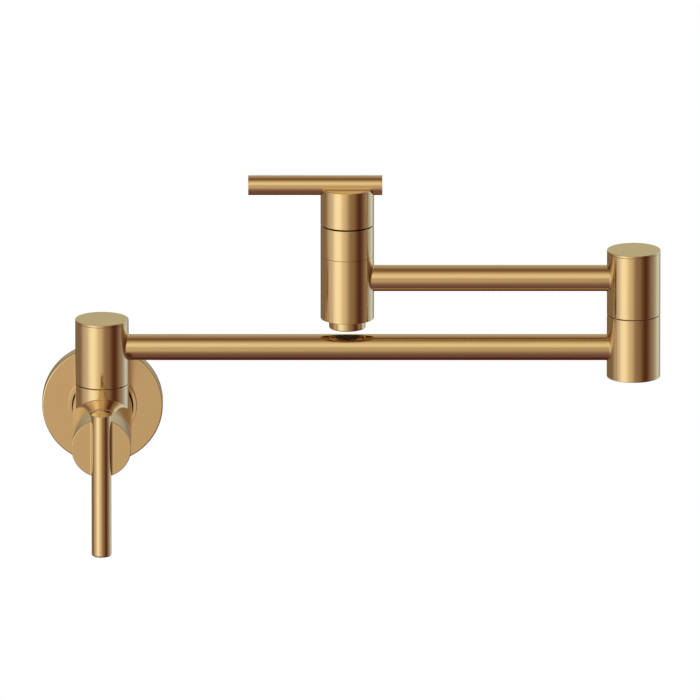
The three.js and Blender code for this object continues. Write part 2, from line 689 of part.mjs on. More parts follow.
// ---- Wall side: built in the wall valve's frame, +Z out of the wall, +X up ----

const wallValve = frameAt(0, -wallSeat, 0);
wallValve.quaternion.setFromRotationMatrix(new THREE.Matrix4().makeBasis(
  new THREE.Vector3(0, 0, 1),
  new THREE.Vector3(-1, 0, 0),
  new THREE.Vector3(0, -1, 0),
));
const wallPlane = -wallSeat;

// The bores along the valve axis, one stepped cutter from the inlet to the open front.
function valveBore(low, mouth, seatBore) {
  return turned([
    [0, low],
    ...mouth,
    [seatBore, 0],
    [CHAMBER_DIAMETER / 2, 0],
    [CHAMBER_DIAMETER / 2, CHAMBER_LENGTH],
    [cavityRadius, CHAMBER_LENGTH],
    [cavityRadius, bodyFront + CUT],
    [0, bodyFront + CUT],
  ]);
}

function valveBody() {
  const rear = wallPlane + BODY_STANDOFF;
  const floor = rear + INLET_DEPTH;
  const pilot = INLET_DIAMETER / 2;
  const barrel = bar(valveBodyRadius, rear, bodyFront);
  const stub = bar(headRadius, 0, stubTop);
  const mouth = [
    [pilot + INLET_CHAMFER + CUT, rear - CUT],
    [pilot, rear + INLET_CHAMFER],
    [pilot, floor],
    [WATERWAY / 2, floor],
  ];
  const throat = bar(POST_THROAT / 2, 0, stubTop + CUT, SMALL_ROUND);
  const footBore = bar(threadRadius + BRAZE_GAP, stubTop - THREAD_LENGTH, stubTop + CUT);
  return barrel
    .add(alongX(stub, 1, POST_ABOVE_SEAT))
    .subtract(valveBore(rear - CUT, mouth, WATERWAY / 2))
    .subtract(alongX(throat.add(footBore), 1, POST_ABOVE_SEAT));
}

function wallPlate() {
  const face = wallPlane + PLATE_THICKNESS;
  const hubFace = face + HUB_PROUD;
  const bore = valveBodyRadius + HUB_CLEARANCE;
  const hub = HUB_OUTER_DIAMETER / 2;
  const rim = PLATE_DIAMETER / 2;
  const pocket = PLATE_POCKET_DIAMETER / 2;
  const pocketTop = wallPlane + PLATE_POCKET_DEPTH;
  const grooveMiddle = GASKET_MIDDLE_DIAMETER / 2;
  const grooveHalf = GASKET_WIDTH / 2 + SEAT_GAP;
  const plate = turned([
    [bore, pocketTop],
    [pocket, pocketTop],
    [pocket, wallPlane],
    [grooveMiddle - grooveHalf, wallPlane],
    [grooveMiddle - grooveHalf, wallPlane + GASKET_THICKNESS],
    [grooveMiddle + grooveHalf, wallPlane + GASKET_THICKNESS],
    [grooveMiddle + grooveHalf, wallPlane],
    [rim, wallPlane],
    [rim, face - PLATE_CHAMFER],
    [rim - PLATE_CHAMFER, face],
    [hub, face],
    [hub, hubFace],
    [bore, hubFace],
  ], PLATE_ROUND);
  const hole = bar(PLATE_SCREW_DIAMETER / 2 + ROD_FIT, bore - CUT, hub + CUT, SMALL_ROUND);
  return plate.subtract(alongX(hole, -1, face + HUB_PROUD / 2));
}

function addWallSide() {
  const floor = wallPlane + BODY_STANDOFF + INLET_DEPTH;
  const washerTop = floor - SEAT_GAP;
  const washerFoot = washerTop - INLET_WASHER_THICKNESS;
  const filterTop = washerFoot - SEAT_GAP;
  const filterFoot = filterTop - FILTER_THICKNESS;
  const fit = INLET_DIAMETER / 2 - RUNNING_CLEARANCE;
  const gasketLow = wallPlane + SEAT_GAP / 2;
  const gasket = sleeve(
    (GASKET_MIDDLE_DIAMETER - GASKET_WIDTH) / 2,
    (GASKET_MIDDLE_DIAMETER + GASKET_WIDTH) / 2,
    gasketLow,
    wallPlane + GASKET_THICKNESS - SEAT_GAP / 2,
    PLATE_ROUND,
  );
  const filter = bar(fit, filterFoot, filterTop, SMALL_ROUND);
  const mesh = holeGrid(FILTER_HOLE, FILTER_PITCH, INLET_WASHER_BORE / 2, filterFoot - CUT, filterTop + CUT);
  const washer = sleeve(INLET_WASHER_BORE / 2, fit, washerFoot, washerTop, SMALL_ROUND);
  const screw = grubScrew({
    inner: valveBodyRadius + SEAT_GAP,
    diameter: PLATE_SCREW_DIAMETER,
    length: PLATE_SCREW_LENGTH,
    across: PLATE_SCREW_SOCKET,
    depth: PLATE_SCREW_SOCKET_DEPTH,
  });
  const screwHeight = wallPlane + PLATE_THICKNESS + HUB_PROUD / 2;
  named('wall_plate', wallPlate(), brushedGold, wallValve);
  named('wall_gasket', gasket, rubber, wallValve);
  named('plate_set_screw', alongX(screw, -1, screwHeight), stainless, wallValve);
  named('valve_body', valveBody(), brushedGold, wallValve);
  named('inlet_washer', washer, rubber, wallValve);
  named('inlet_filter', filter.subtract(mesh), stainless, wallValve);
}

addWallSide();
addCartridge('wall', wallValve);
addHandle({
  prefix: 'wall',
  rodName: 'lever',
  group: wallValve,
  knobRadius: valveBodyRadius,
  long: WALL_LEVER_LONG,
  short: WALL_LEVER_SHORT,
  endRound: ROD_END_ROUND,
  grubDirection: 180,
});

// ---- Lower arm: post head, tube and the lower half of the elbow ----

const post = frameAt(0, -POST_PROJECTION, stubTop);
const elbow = frameAt(LOWER_ARM_REACH, -POST_PROJECTION, elbowSeamHeight);
addSwivel('post', 'post_head', post, 1);

// An arm tube between two heads, from one head's axis towards the other.
function armTube(reach, fromRadius, toRadius) {
  const start = fromRadius - SOCKET_DEPTH;
  const end = reach - toRadius + SOCKET_DEPTH;
  return alongX(sleeve(armBoreRadius, armRadius, start, end), 1, 0);
}

// The lower half of the elbow, with z = 0 at the moving seam.
function elbowLowerHead() {
  const armHeight = -elbowTop;
  const foot = armHeight + elbowFoot;
  const floor = armHeight - chamberHalf;
  const shell = turned([
    [0, foot],
    [headRadius, foot],
    [headRadius, 0],
    [threadRadius + BRAZE_GAP, 0],
    [threadRadius + BRAZE_GAP, -THREAD_LENGTH],
    [ELBOW_BORE / 2, -THREAD_LENGTH],
    [ELBOW_BORE / 2, floor],
    [0, floor],
  ]);
  return shell.subtract(armSocket(-1, armHeight, headRadius, 0));
}

const lowerArm = frameAt(0, -POST_PROJECTION, lowerArmHeight);
named('lower_arm_tube', armTube(LOWER_ARM_REACH, headRadius, headRadius), brushedGold, lowerArm);
named('elbow_lower_head', elbowLowerHead(), brushedGold, elbow);

// ---- Upper arm: upper half of the elbow, tube, spout body with its valve, and outlet ----

addSwivel('elbow', 'elbow_upper_head', elbow, -1);
const spoutX = LOWER_ARM_REACH - UPPER_ARM_REACH;
const upperArm = frameAt(spoutX, -POST_PROJECTION, upperArmHeight);
named('upper_arm_tube', armTube(UPPER_ARM_REACH, headRadius, headRadius), brushedGold, upperArm);

const spout = frameAt(spoutX, -POST_PROJECTION, upperArmHeight - SPOUT_ARM_ABOVE_SEAT);

function spoutBody() {
  const neck = BONNET_THREAD_DIAMETER / 2;
  const shell = turned([
    [0, -SPOUT_FOOT],
    [headRadius, -SPOUT_FOOT],
    [headRadius, spoutBodyTop],
    [neck, spoutBodyTop],
    [neck, neckTop],
    [0, neckTop],
  ]);
  const screwed = AERATOR_THREAD / 2 + BRAZE_GAP;
  const ledge = AERATOR_SCREW_DEPTH - SPOUT_FOOT;
  const mouth = [
    [screwed, -SPOUT_FOOT - CUT],
    [screwed, ledge],
    [WATERWAY / 2, ledge],
  ];
  const bores = valveBore(-SPOUT_FOOT - CUT, mouth, WATERWAY / 2);
  const waterFrom = CARTRIDGE_DIAMETER / 2 + CHAMBER_MARGIN;
  return shell.subtract(bores).subtract(armSocket(1, SPOUT_ARM_ABOVE_SEAT, headRadius, waterFrom));
}

// A sleeve screwed over the spout body's neck, closed round the stem at the top.
function spoutBonnet() {
  const foot = spoutBodyTop + SEAT_GAP;
  const cavity = BONNET_THREAD_DIAMETER / 2 + BRAZE_GAP;
  const ceiling = bodyFront - BONNET_ROOF;
  return turned([
    [cavity, foot],
    [headRadius, foot],
    [headRadius, bodyFront],
    [BONNET_HOLE / 2, bodyFront],
    [BONNET_HOLE / 2, ceiling],
    [cavity, ceiling],
  ]);
}

function aeratorHousing() {
  const top = -SPOUT_FOOT - SEAT_GAP;
  const foot = -SPOUT_FOOT - AERATOR_HEIGHT;
  const outer = AERATOR_DIAMETER / 2;
  const bore = AERATOR_BORE / 2;
  const lip = bore - AERATOR_LIP;
  const spigot = AERATOR_THREAD / 2;
  const round = [0, 1, 2, 3].map((i) => {
    const turn = (i / 3) * (Math.PI / 2);
    const r = outer - AERATOR_ROUND * (1 - Math.sin(turn));
    return [r, foot + AERATOR_ROUND * (1 - Math.cos(turn))];
  });
  return turned([
    [lip, foot],
    ...round,
    [outer, top],
    [spigot, top],
    [spigot, top + AERATOR_SCREW],
    [bore, top + AERATOR_SCREW],
    [bore, foot + AERATOR_LIP],
    [lip, foot + AERATOR_LIP],
  ]);
}

function aeratorInsert() {
  const low = -SPOUT_FOOT - AERATOR_HEIGHT + AERATOR_LIP + SEAT_GAP;
  const high = low + INSERT_THICKNESS;
  const radius = AERATOR_BORE / 2 - SEAT_GAP;
  const limit = AERATOR_BORE / 2 - AERATOR_LIP;
  const holes = holeGrid(INSERT_HOLE, INSERT_PITCH, limit, low - CUT, high + CUT);
  return bar(radius, low, high).subtract(holes);
}

function aeratorWasher() {
  const top = AERATOR_SCREW_DEPTH - SPOUT_FOOT - SEAT_GAP / 2;
  const outer = AERATOR_THREAD / 2 - SEAT_GAP;
  return sleeve(AERATOR_WASHER_BORE / 2, outer, top - AERATOR_WASHER, top, SMALL_ROUND);
}

named('spout_body', spoutBody(), brushedGold, spout);
named('spout_bonnet', spoutBonnet(), brushedGold, spout);
named('aerator_housing', aeratorHousing(), brushedGold, spout);
named('aerator_insert', aeratorInsert(), darkAcetal, spout);
named('aerator_washer', aeratorWasher(), rubber, spout);
addCartridge('spout', spout);
addHandle({
  prefix: 'spout',
  rodName: 'bar',
  group: spout,
  knobRadius: headRadius,
  long: SPOUT_BAR_LONG,
  short: SPOUT_BAR_SHORT,
  endRound: 0,
  grubDirection: 90,
});

export default potFiller;
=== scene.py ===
# %% [markdown]
# # A wall mounted pot filler in satin gold
#
# A pot filler is a folding kitchen tap. A round valve body stands out of the wall, two tubes
# fold over each other on a post and an elbow, and a second valve sits over the spout.
# Nearly everything you see was turned on a lathe, polished to a satin and given a thin gold
# coloured coating, so this lesson is about two things: clean turned surfaces, worked out
# with numpy, and one metal that takes its whole look from what it reflects.

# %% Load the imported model
import json
import bpy
import numpy as np
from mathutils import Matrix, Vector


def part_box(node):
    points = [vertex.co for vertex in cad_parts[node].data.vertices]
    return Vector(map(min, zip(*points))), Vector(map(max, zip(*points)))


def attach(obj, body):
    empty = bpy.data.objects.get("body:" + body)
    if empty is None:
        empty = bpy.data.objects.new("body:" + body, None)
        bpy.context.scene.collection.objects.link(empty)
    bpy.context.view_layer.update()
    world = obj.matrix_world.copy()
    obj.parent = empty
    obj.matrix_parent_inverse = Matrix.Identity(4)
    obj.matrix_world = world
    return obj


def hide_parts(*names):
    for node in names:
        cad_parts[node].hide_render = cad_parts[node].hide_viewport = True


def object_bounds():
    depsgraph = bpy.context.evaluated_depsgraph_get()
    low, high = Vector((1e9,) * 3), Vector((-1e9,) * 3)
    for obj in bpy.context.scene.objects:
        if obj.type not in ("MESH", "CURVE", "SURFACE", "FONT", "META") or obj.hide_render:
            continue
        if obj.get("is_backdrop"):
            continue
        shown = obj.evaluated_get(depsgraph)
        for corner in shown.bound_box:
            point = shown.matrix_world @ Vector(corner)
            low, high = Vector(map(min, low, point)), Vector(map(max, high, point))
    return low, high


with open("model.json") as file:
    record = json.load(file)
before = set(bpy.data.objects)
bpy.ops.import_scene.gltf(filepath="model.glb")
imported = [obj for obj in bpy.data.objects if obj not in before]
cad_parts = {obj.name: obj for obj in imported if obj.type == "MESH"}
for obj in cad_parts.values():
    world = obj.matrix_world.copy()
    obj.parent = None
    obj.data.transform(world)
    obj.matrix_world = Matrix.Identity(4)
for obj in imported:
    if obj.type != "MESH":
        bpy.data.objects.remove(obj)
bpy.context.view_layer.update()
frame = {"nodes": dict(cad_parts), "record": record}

MM = 0.001        # the frame is in metres, and this lesson thinks in millimetres
X, Y, Z = 0, 1, 2


def corners(node):
    """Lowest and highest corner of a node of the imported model, in millimetres."""
    low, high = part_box(node)
    return np.round(np.array(low) / MM, 3), np.round(np.array(high) / MM, 3)


def radius_of(node, axis):
    """Half of a node's width along one axis, which is the radius of a turned piece."""
    low, high = corners(node)
    return (high[axis] - low[axis]) / 2


def middle_of(node, axis):
    """The middle of a node's box along one axis."""
    low, high = corners(node)
    return (low[axis] + high[axis]) / 2


# %% [markdown]
# ## The camera
#
# The photograph was taken from straight in front and a little above, from so far away that
# nothing gets smaller with depth. A very long lens from a long way off gives that look and,
# unlike an orthographic camera, it still works when the view is moved round the object.

# %% Set up the camera
VIEW_DOWN = np.radians(15.5)      # how far the camera looks down
VIEW_WIDTH = 428.0                # millimetres across the picture
VIEW_CENTRE = np.array([151.66, -47.0, 45.33])
CAMERA_DISTANCE = 20000.0
SENSOR_WIDTH = 36.0
CLIP_NEAR, CLIP_FAR = 1.0, 60.0   # metres


def put(name, data):
    """A new object in the scene that holds a camera, a mesh or a lamp."""
    made = bpy.data.objects.new(name, data)
    bpy.context.scene.collection.objects.link(made)
    return made


towards_camera = np.array([0.0, -np.cos(VIEW_DOWN), np.sin(VIEW_DOWN)])
camera_data = bpy.data.cameras.new("camera")
camera_data.sensor_width = SENSOR_WIDTH
camera_data.lens = SENSOR_WIDTH * CAMERA_DISTANCE / VIEW_WIDTH
camera_data.clip_start, camera_data.clip_end = CLIP_NEAR, CLIP_FAR
camera = put("camera", camera_data)
camera.location = (VIEW_CENTRE + towards_camera * CAMERA_DISTANCE) * MM
camera.rotation_euler = (np.pi / 2 - VIEW_DOWN, 0.0, 0.0)
bpy.context.scene.camera = camera
print("lens", round(camera_data.lens), "mm")

# %% [markdown]
# ## Colours and nodes
#
# A colour picked on a screen is sRGB, while shaders calculate with linear light, so one
# function turns a hex value into linear numbers. A second small function adds any node,
# fills in its settings and links its inputs, which keeps each material short to read.

# %% Helpers for materials
def colour(code):
    """Linear RGBA of an sRGB hex code: below 0.04045 a straight line, above it a power."""
    srgb = np.array([int(code[i:i + 2], 16) for i in (0, 2, 4)]) / 255
    linear = np.where(srgb <= 0.04045, srgb / 12.92, ((srgb + 0.055) / 1.055) ** 2.4)
    return (*linear.tolist(), 1.0)


def add(tree, kind, inputs=(), **settings):
    """Adds a node. Each input is given as (name or number, value or socket to link)."""
    made = tree.nodes.new("ShaderNode" + kind)
    for key, value in settings.items():
        setattr(made, key, value)
    for key, value in inputs:
        if isinstance(value, bpy.types.NodeSocket):
            tree.links.new(value, made.inputs[key])
        else:
            made.inputs[key].default_value = value
    return made


def start_material(name):
    """An empty material, its node tree and the Object coordinates of the piece."""
    material = bpy.data.materials.new(name)
    material.use_nodes = True
    tree = material.node_tree
    tree.nodes.clear()
    where = add(tree, "TexCoord").outputs["Object"]
    return material, tree, where


def finish_material(tree, shader):
    """Links the last shader to the material's output."""
    add(tree, "OutputMaterial", [("Surface", shader)])

# %% [markdown]
# ## Satin gold: a vapour-deposited coating on finely brushed brass
#
# The brass is turned, brushed with a very fine abrasive and then coated in a vacuum chamber
# with a hard layer a thousandth of a millimetre thick. The eye gets a soft-edged mirror:
# reflections keep their shape, and their edges are blurred a little across the brushing.
# The brushing runs round each turned piece, so a noise that is squeezed along the turning
# axis gives lines that circle it. Real lines are 0.05 mm apart. They are drawn at 0.25 mm
# so that a close view still shows them. One function makes the finish for each axis.

# %% Make the satin gold for the three turning axes
BRUSH_LINES = 0.25 * MM           # spacing of the brushed lines as drawn
BRUSH_STRETCH = 60                # how much longer than wide a line is
GRIT = 0.35 * MM                  # size of the fine grain under the coating
TONE_PATCH = 45 * MM              # size of the slow drift in the coating's tone
COATING_TONES = "DDC39A", "E2C89E"
SATIN_ROUGHNESS = 0.08, 0.12      # on the smoothest and on the deepest lines
LINE_STRENGTH, LINE_HEIGHT = 0.06, 0.02 * MM
LINE_DETAIL, LINE_RAGGEDNESS, SOFT_DETAIL = 2.0, 0.6, 1.0
NOISE_LOW, NOISE_HIGH = 0.25, 0.75  # a noise seldom goes past these


def satin_gold(name, turning_axis):
    """Gold whose tone drifts slowly, and whose roughness and height follow brushed lines."""
    material, tree, where = start_material(name)
    squeeze = [1 / (BRUSH_LINES * BRUSH_STRETCH)] * 3
    squeeze["xyz".index(turning_axis)] = 1 / BRUSH_LINES
    brushed = add(tree, "Mapping", [("Vector", where), ("Scale", squeeze)])
    lines = add(tree, "TexNoise", [
        ("Vector", brushed.outputs[0]), ("Scale", 1.0), ("Detail", LINE_DETAIL),
        ("Roughness", LINE_RAGGEDNESS)])
    grain, drift = (add(tree, "TexNoise", [
        ("Vector", where), ("Scale", 1 / size), ("Detail", SOFT_DETAIL)])
        for size in (GRIT, TONE_PATCH))
    tone = add(tree, "Mix", [
        ("Factor", drift.outputs["Fac"]), ("A", colour(COATING_TONES[0])),
        ("B", colour(COATING_TONES[1]))], data_type="RGBA")
    rough = add(tree, "MapRange", [
        ("Value", lines.outputs["Fac"]), ("From Min", NOISE_LOW), ("From Max", NOISE_HIGH),
        ("To Min", SATIN_ROUGHNESS[0]), ("To Max", SATIN_ROUGHNESS[1])])
    height = add(tree, "Math", [(0, lines.outputs["Fac"]), (1, grain.outputs["Fac"])])
    bump = add(tree, "Bump", [
        ("Strength", LINE_STRENGTH), ("Distance", LINE_HEIGHT), ("Height", height.outputs[0])])
    metal = add(tree, "BsdfPrincipled", [
        ("Base Color", tone.outputs["Result"]), ("Metallic", 1.0),
        ("Roughness", rough.outputs[0]), ("Normal", bump.outputs[0])])
    finish_material(tree, metal.outputs[0])
    return material


gold_round_x = satin_gold("satin_gold_turned_about_x", "x")
gold_round_y = satin_gold("satin_gold_turned_about_y", "y")
gold_round_z = satin_gold("satin_gold_turned_about_z", "z")
print("gold finishes", gold_round_x.name, gold_round_y.name, gold_round_z.name)

# %% [markdown]
# ## The plainer materials
#
# Machined brass, stainless steel, phosphated spring steel, nitrile rubber, acetal and
# ceramic are the working parts' materials. Most of them are hidden in the assembled tap,
# and still each starts from how it is made: the grain of the cut on brass, a matt bloom on
# rubber, the slight mottle of moulded acetal, the even satin of lapped ceramic. One function
# takes the two tones, the roughness range and the pattern's size and depth in millimetres.

# %% Make the working parts' materials
MOTTLE_DETAIL, MOTTLE_STRENGTH = 3.0, 0.3


def mottled(name, dark, light, rough, size, depth, metallic=0.0):
    """A finish whose tone, roughness and height all follow one noise of the given size."""
    material, tree, where = start_material(name)
    noise = add(tree, "TexNoise", [
        ("Vector", where), ("Scale", 1 / (size * MM)), ("Detail", MOTTLE_DETAIL)])
    tone = add(tree, "Mix", [
        ("Factor", noise.outputs["Fac"]), ("A", colour(dark)), ("B", colour(light))],
        data_type="RGBA")
    roughness = add(tree, "MapRange", [
        ("Value", noise.outputs["Fac"]), ("To Min", rough[0]), ("To Max", rough[1])])
    bump = add(tree, "Bump", [
        ("Strength", MOTTLE_STRENGTH), ("Distance", depth * MM),
        ("Height", noise.outputs["Fac"])])
    shader = add(tree, "BsdfPrincipled", [
        ("Base Color", tone.outputs["Result"]), ("Metallic", metallic),
        ("Roughness", roughness.outputs[0]), ("Normal", bump.outputs[0])])
    finish_material(tree, shader.outputs[0])
    return material


working = {
    # free-cutting brass as it leaves the lathe: bright, with the fine grain of the cut
    "raw_brass": mottled("machined_brass", "C9A256", "E2C078", (0.22, 0.38), 0.4, 0.01, 1.0),
    # austenitic stainless steel, tumbled: cool grey with a fine grain
    "stainless": mottled("tumbled_stainless", "BDBDBB", "D3D3D0", (0.24, 0.36), 0.3, 0.01, 1.0),
    # phosphated spring steel: dark, slightly blotchy and oily
    "spring_steel": mottled("phosphated_spring_steel", "4A4C4F", "686A6D", (0.4, 0.55),
                            0.5, 0.01, 1.0),
    # moulded nitrile rubber: near black with a dusty bloom
    "rubber": mottled("moulded_nitrile_rubber", "1B1B1C", "262627", (0.65, 0.85), 0.8, 0.02),
    # machined acetal: milky white, waxy
    "acetal": mottled("machined_acetal", "DEDBD2", "ECE9E1", (0.38, 0.5), 1.5, 0.01),
    # dark moulded acetal: a warm dark brown, waxy
    "dark_acetal": mottled("moulded_dark_acetal", "54413A", "624C43", (0.4, 0.52), 1.5, 0.01),
    # lapped alumina: even, ivory white
    "ceramic": mottled("lapped_alumina", "EDEAE1", "F5F3EC", (0.2, 0.3), 0.6, 0.005),
}
print("working materials", sorted(working))

# %% [markdown]
# ## Surfaces from grids
#
# Every new piece below is a handful of grids of points. A grid carries its own normals,
# which come from the formula of the surface and not from its small flat faces, so a gentle
# reflection runs over it without a ripple. One function joins the grids: points that fall
# on each other are welded, faces that shrank to nothing are dropped, and each face turns
# its front to the side that its normals point to. That closes seams and poles by itself.

# %% Join grids into one closed mesh
WELD = 1e-4       # millimetres: points nearer than this are one point


def unit(vectors):
    """Vectors of length one."""
    return vectors / np.maximum(np.linalg.norm(vectors, axis=-1, keepdims=True), 1e-12)


def grid_faces(rows, columns, first=0):
    """Neighbouring rows and columns of points, numbered from first, make four-sided faces."""
    index = np.arange(rows * columns).reshape(rows, columns) + first
    return np.stack([index[:-1, :-1], index[1:, :-1], index[1:, 1:], index[:-1, 1:]],
                    -1).reshape(-1, 4)


def count_open_edges(mesh):
    """How many edges don't have exactly two faces: a closed mesh has none."""
    edge_of_loop = np.zeros(len(mesh.loops), np.int32)
    mesh.loops.foreach_get("edge_index", edge_of_loop)
    return int((np.bincount(edge_of_loop, minlength=len(mesh.edges)) != 2).sum())


def make_piece(name, grids, material, body, replaced, place):
    """One mesh from grids of (points, normals), each an array of rows, columns and xyz.

    place is (origin, axes): a local point p lands at origin + p @ axes, where the rows of
    axes are the local x, y and z.
    """
    origin, axes = place
    quads, count = [], 0
    for grid_points, _ in grids:
        quads.append(grid_faces(*grid_points.shape[:2], count))
        count += grid_points.shape[0] * grid_points.shape[1]
    quads = np.concatenate(quads)
    points = np.concatenate([p.reshape(-1, 3) for p, _ in grids]) @ axes + origin
    normals = unit(np.concatenate([n.reshape(-1, 3) for _, n in grids]) @ axes)
    keys = np.rint(points / WELD).astype(np.int64)
    _, first, merged = np.unique(keys, axis=0, return_index=True, return_inverse=True)
    merged = merged.reshape(-1)
    same = merged[quads] == merged[np.roll(quads, -1, 1)]
    fours = quads[same.sum(1) == 0]
    single = same.sum(1) == 1
    threes = quads[single][~same[single]].reshape(-1, 3)
    faces, face_normals = [], []
    for polygons in (fours, threes):
        p = points[polygons]
        flat = np.cross(p[:, 2] - p[:, 0], p[:, -1] - p[:, 1])
        inward = (flat * normals[polygons].sum(1)).sum(1) < 0
        polygons[inward] = polygons[inward][:, ::-1]
        faces += merged[polygons].tolist()
        face_normals.append(normals[polygons].reshape(-1, 3))
    mesh = bpy.data.meshes.new(name)
    mesh.from_pydata(points[first] * MM, [], faces, shade_flat=False)
    mesh.normals_split_custom_set(np.concatenate(face_normals).tolist())
    mesh.materials.append(material)
    piece = put(name, mesh)
    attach(piece, body)
    if replaced:
        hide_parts(*replaced)
    print(f"{name}: {len(mesh.polygons)} faces, {count_open_edges(mesh)} open edges")


def gold_piece(node, grids, material, body, place, made="turned"):
    """A piece in satin gold that takes the place of one node."""
    make_piece(f"{node}_{made}", grids, material, body, [node], place)

# %% [markdown]
# ## Turned surfaces
#
# A turner thinks of a profile: corners at a radius and a height, each broken with a small
# round so that it doesn't cut a finger. The profile is listed with the metal on its left.
# Every corner becomes a short arc, and the outward normal swings through the same angle as
# the arc. A corner with no round keeps both faces' normals, so it stays crisp.

# %% Profiles and turning
SIDES = 128       # steps round a turned piece
ARC_STEPS = 5     # steps round a small edge


def rounded(profile, closed=False):
    """Points and outward normals along a profile of (radius, height, round) corners.

    The arc at a corner starts round * tan(turn / 2) before it. Its centre lies one round
    away from the start, on the inside of the bend, and the normal turns evenly.
    """
    corner = np.array([(*p, 0)[:3] for p in profile], float)
    point, size = corner[:, :2], corner[:, 2]
    into = unit(point - np.roll(point, 1, 0))
    out = unit(np.roll(point, -1, 0) - point)
    if not closed:
        into[0], out[-1] = out[0], into[-1]
    turn = np.arctan2(into[:, 0] * out[:, 1] - into[:, 1] * out[:, 0], (into * out).sum(1))
    start = point - into * (size * np.tan(abs(turn) / 2))[:, None]
    angle = turn[:, None] * np.linspace(0, 1, ARC_STEPS + 1)
    normal_in = np.stack([into[:, 1], -into[:, 0]], 1)[:, None, :]
    side_in = into[:, None, :]
    normal = normal_in * np.cos(angle)[..., None] + side_in * np.sin(angle)[..., None]
    bend = (np.sign(turn) * size)[:, None, None]
    arc = start[:, None, :] - bend * normal_in + bend * normal
    arc, normal = arc.reshape(-1, 2), normal.reshape(-1, 2)
    if closed:
        arc, normal = np.vstack([arc, arc[:1]]), np.vstack([normal, normal[:1]])
    return arc, normal


def turned(profile, closed=False, angles=None):
    """A profile turned round the local z axis: (r cos a, r sin a, z) for every angle a."""
    arc, normal = rounded(profile, closed)
    if angles is None:
        angles = np.linspace(0, 2 * np.pi, SIDES + 1)
    circle = np.stack([np.cos(angles), np.sin(angles)], -1)

    def swing(line):
        flat = line[:, None, :1] * circle
        high = np.broadcast_to(line[:, None, 1:], (*flat.shape[:2], 1))
        return np.concatenate([flat, high], -1)

    return swing(arc), swing(normal)


def axes_from(x, z):
    """Local axes as rows, from the directions of the local x and z."""
    x, z = np.array(x, float), np.array(z, float)
    return np.array([x, np.cross(z, x), z])


def at(x, y, z, axes):
    """The place of a piece: where its local origin lies and how its axes are turned."""
    return np.array([x, y, z]), axes


UPRIGHT = axes_from((1, 0, 0), (0, 0, 1))
ARM_TO_LEFT = axes_from((-1, 0, 0), (0, 0, 1))
ALONG_X = axes_from((0, 1, 0), (1, 0, 0))
OUT_OF_WALL = axes_from((0, 0, 1), (0, -1, 0))
OUT_OF_WALL_HOLE_DOWN = axes_from((0, 0, -1), (0, -1, 0))
UPRIGHT_HOLE_BACK = axes_from((0, 1, 0), (0, 0, 1))

# %% [markdown]
# ## Where a tube meets a round wall
#
# The arms run into the sides of the heads, and the upright stub grows out of the horizontal
# body. A boolean would cut these shapes, but it leaves long thin faces that reflections
# catch on. Instead the wall is laid out flat, a rectangle is marked on it, and the space
# between the rectangle and the crossing line is filled with rings that slowly change from
# one to the other. Rolled back up, every point lies exactly on the cylinder.

# %% Walls with a round opening
def crossing(radius, bore, centre, phi):
    """The line where a bore along local x crosses a wall of that radius round local z.

    At angle phi round the bore, y = bore cos phi, z = centre + bore sin phi and
    x = sqrt(radius^2 - y^2).
    """
    y = bore * np.cos(phi)
    x = np.sqrt(np.maximum(radius ** 2 - y ** 2, 0))
    return np.stack([x, y, centre + bore * np.sin(phi)], -1)


def wall_normals(points):
    """Outward normals of a wall round local z: the direction away from the axis."""
    return unit(points * [1, 1, 0])


def rolled(radius, theta, z):
    """A wall that was laid out flat, rolled back up: (radius cos theta, radius sin theta, z)."""
    return np.stack([radius * np.cos(theta), radius * np.sin(theta), z], -1)


def pierced_wall(radius, low, high, centre, bore, columns, rows, outward=1, phi=None, rings=8):
    """A round wall from low to high with an opening on its local +x side.

    Returns its grids and the angles phi of the opening's points. columns is how many steps
    of the full circle the marked rectangle reaches to each side.
    """
    half = columns * 2 * np.pi / SIDES
    across = np.linspace(-half, half, 2 * columns + 1)
    up = np.linspace(low, high, rows + 1)
    theta = np.concatenate([across[:-1], np.full(rows, half), across[:0:-1],
                            np.full(rows + 1, -half)])
    z = np.concatenate([np.full(2 * columns, low), up[:-1], np.full(2 * columns, high), up[::-1]])
    if phi is None:
        phi = np.unwrap(np.arctan2(z - centre, radius * np.sin(theta)))
    inner = crossing(radius, bore, centre, phi)
    inner_theta = np.arcsin(np.clip(inner[:, 1] / radius, -1, 1))
    t = np.linspace(0, 1, rings + 1)[:, None]
    marked = rolled(radius, inner_theta + (theta - inner_theta) * t,
                    inner[:, 2] + (z - inner[:, 2]) * t)
    rest = rolled(radius, *np.meshgrid(
        np.linspace(half, 2 * np.pi - half, SIDES - 2 * columns + 1), up))
    return [(grid, wall_normals(grid) * outward) for grid in (marked, rest)], phi


def eased(line_a, line_b, sharp, normal_a, normal_b):
    """A rounded edge between two lines of points: a quadratic curve from line_a to line_b
    that leans on the sharp edge between them, while the normal swings from one to the other."""
    t = np.linspace(0, 1, ARC_STEPS + 1)[:, None, None]
    points = (1 - t) ** 2 * line_a + 2 * t * (1 - t) * sharp + t ** 2 * line_b
    return points, unit((1 - t) * normal_a + t * normal_b)


def strip(line_a, line_b, normal):
    """The straight faces between two lines of points, all with the given normals."""
    points = np.stack([line_a, line_b])
    return points, np.broadcast_to(normal, points.shape).copy()


def moved(line, x=None, dx=0.0):
    """A line of points set to one x, or shifted along x."""
    made = line.copy()
    made[:, 0] = made[:, 0] + dx if x is None else x
    return made


def spokes(phi):
    """Directions away from a bore's axis, which runs along local x."""
    return np.stack([0 * phi, np.cos(phi), np.sin(phi)], -1)


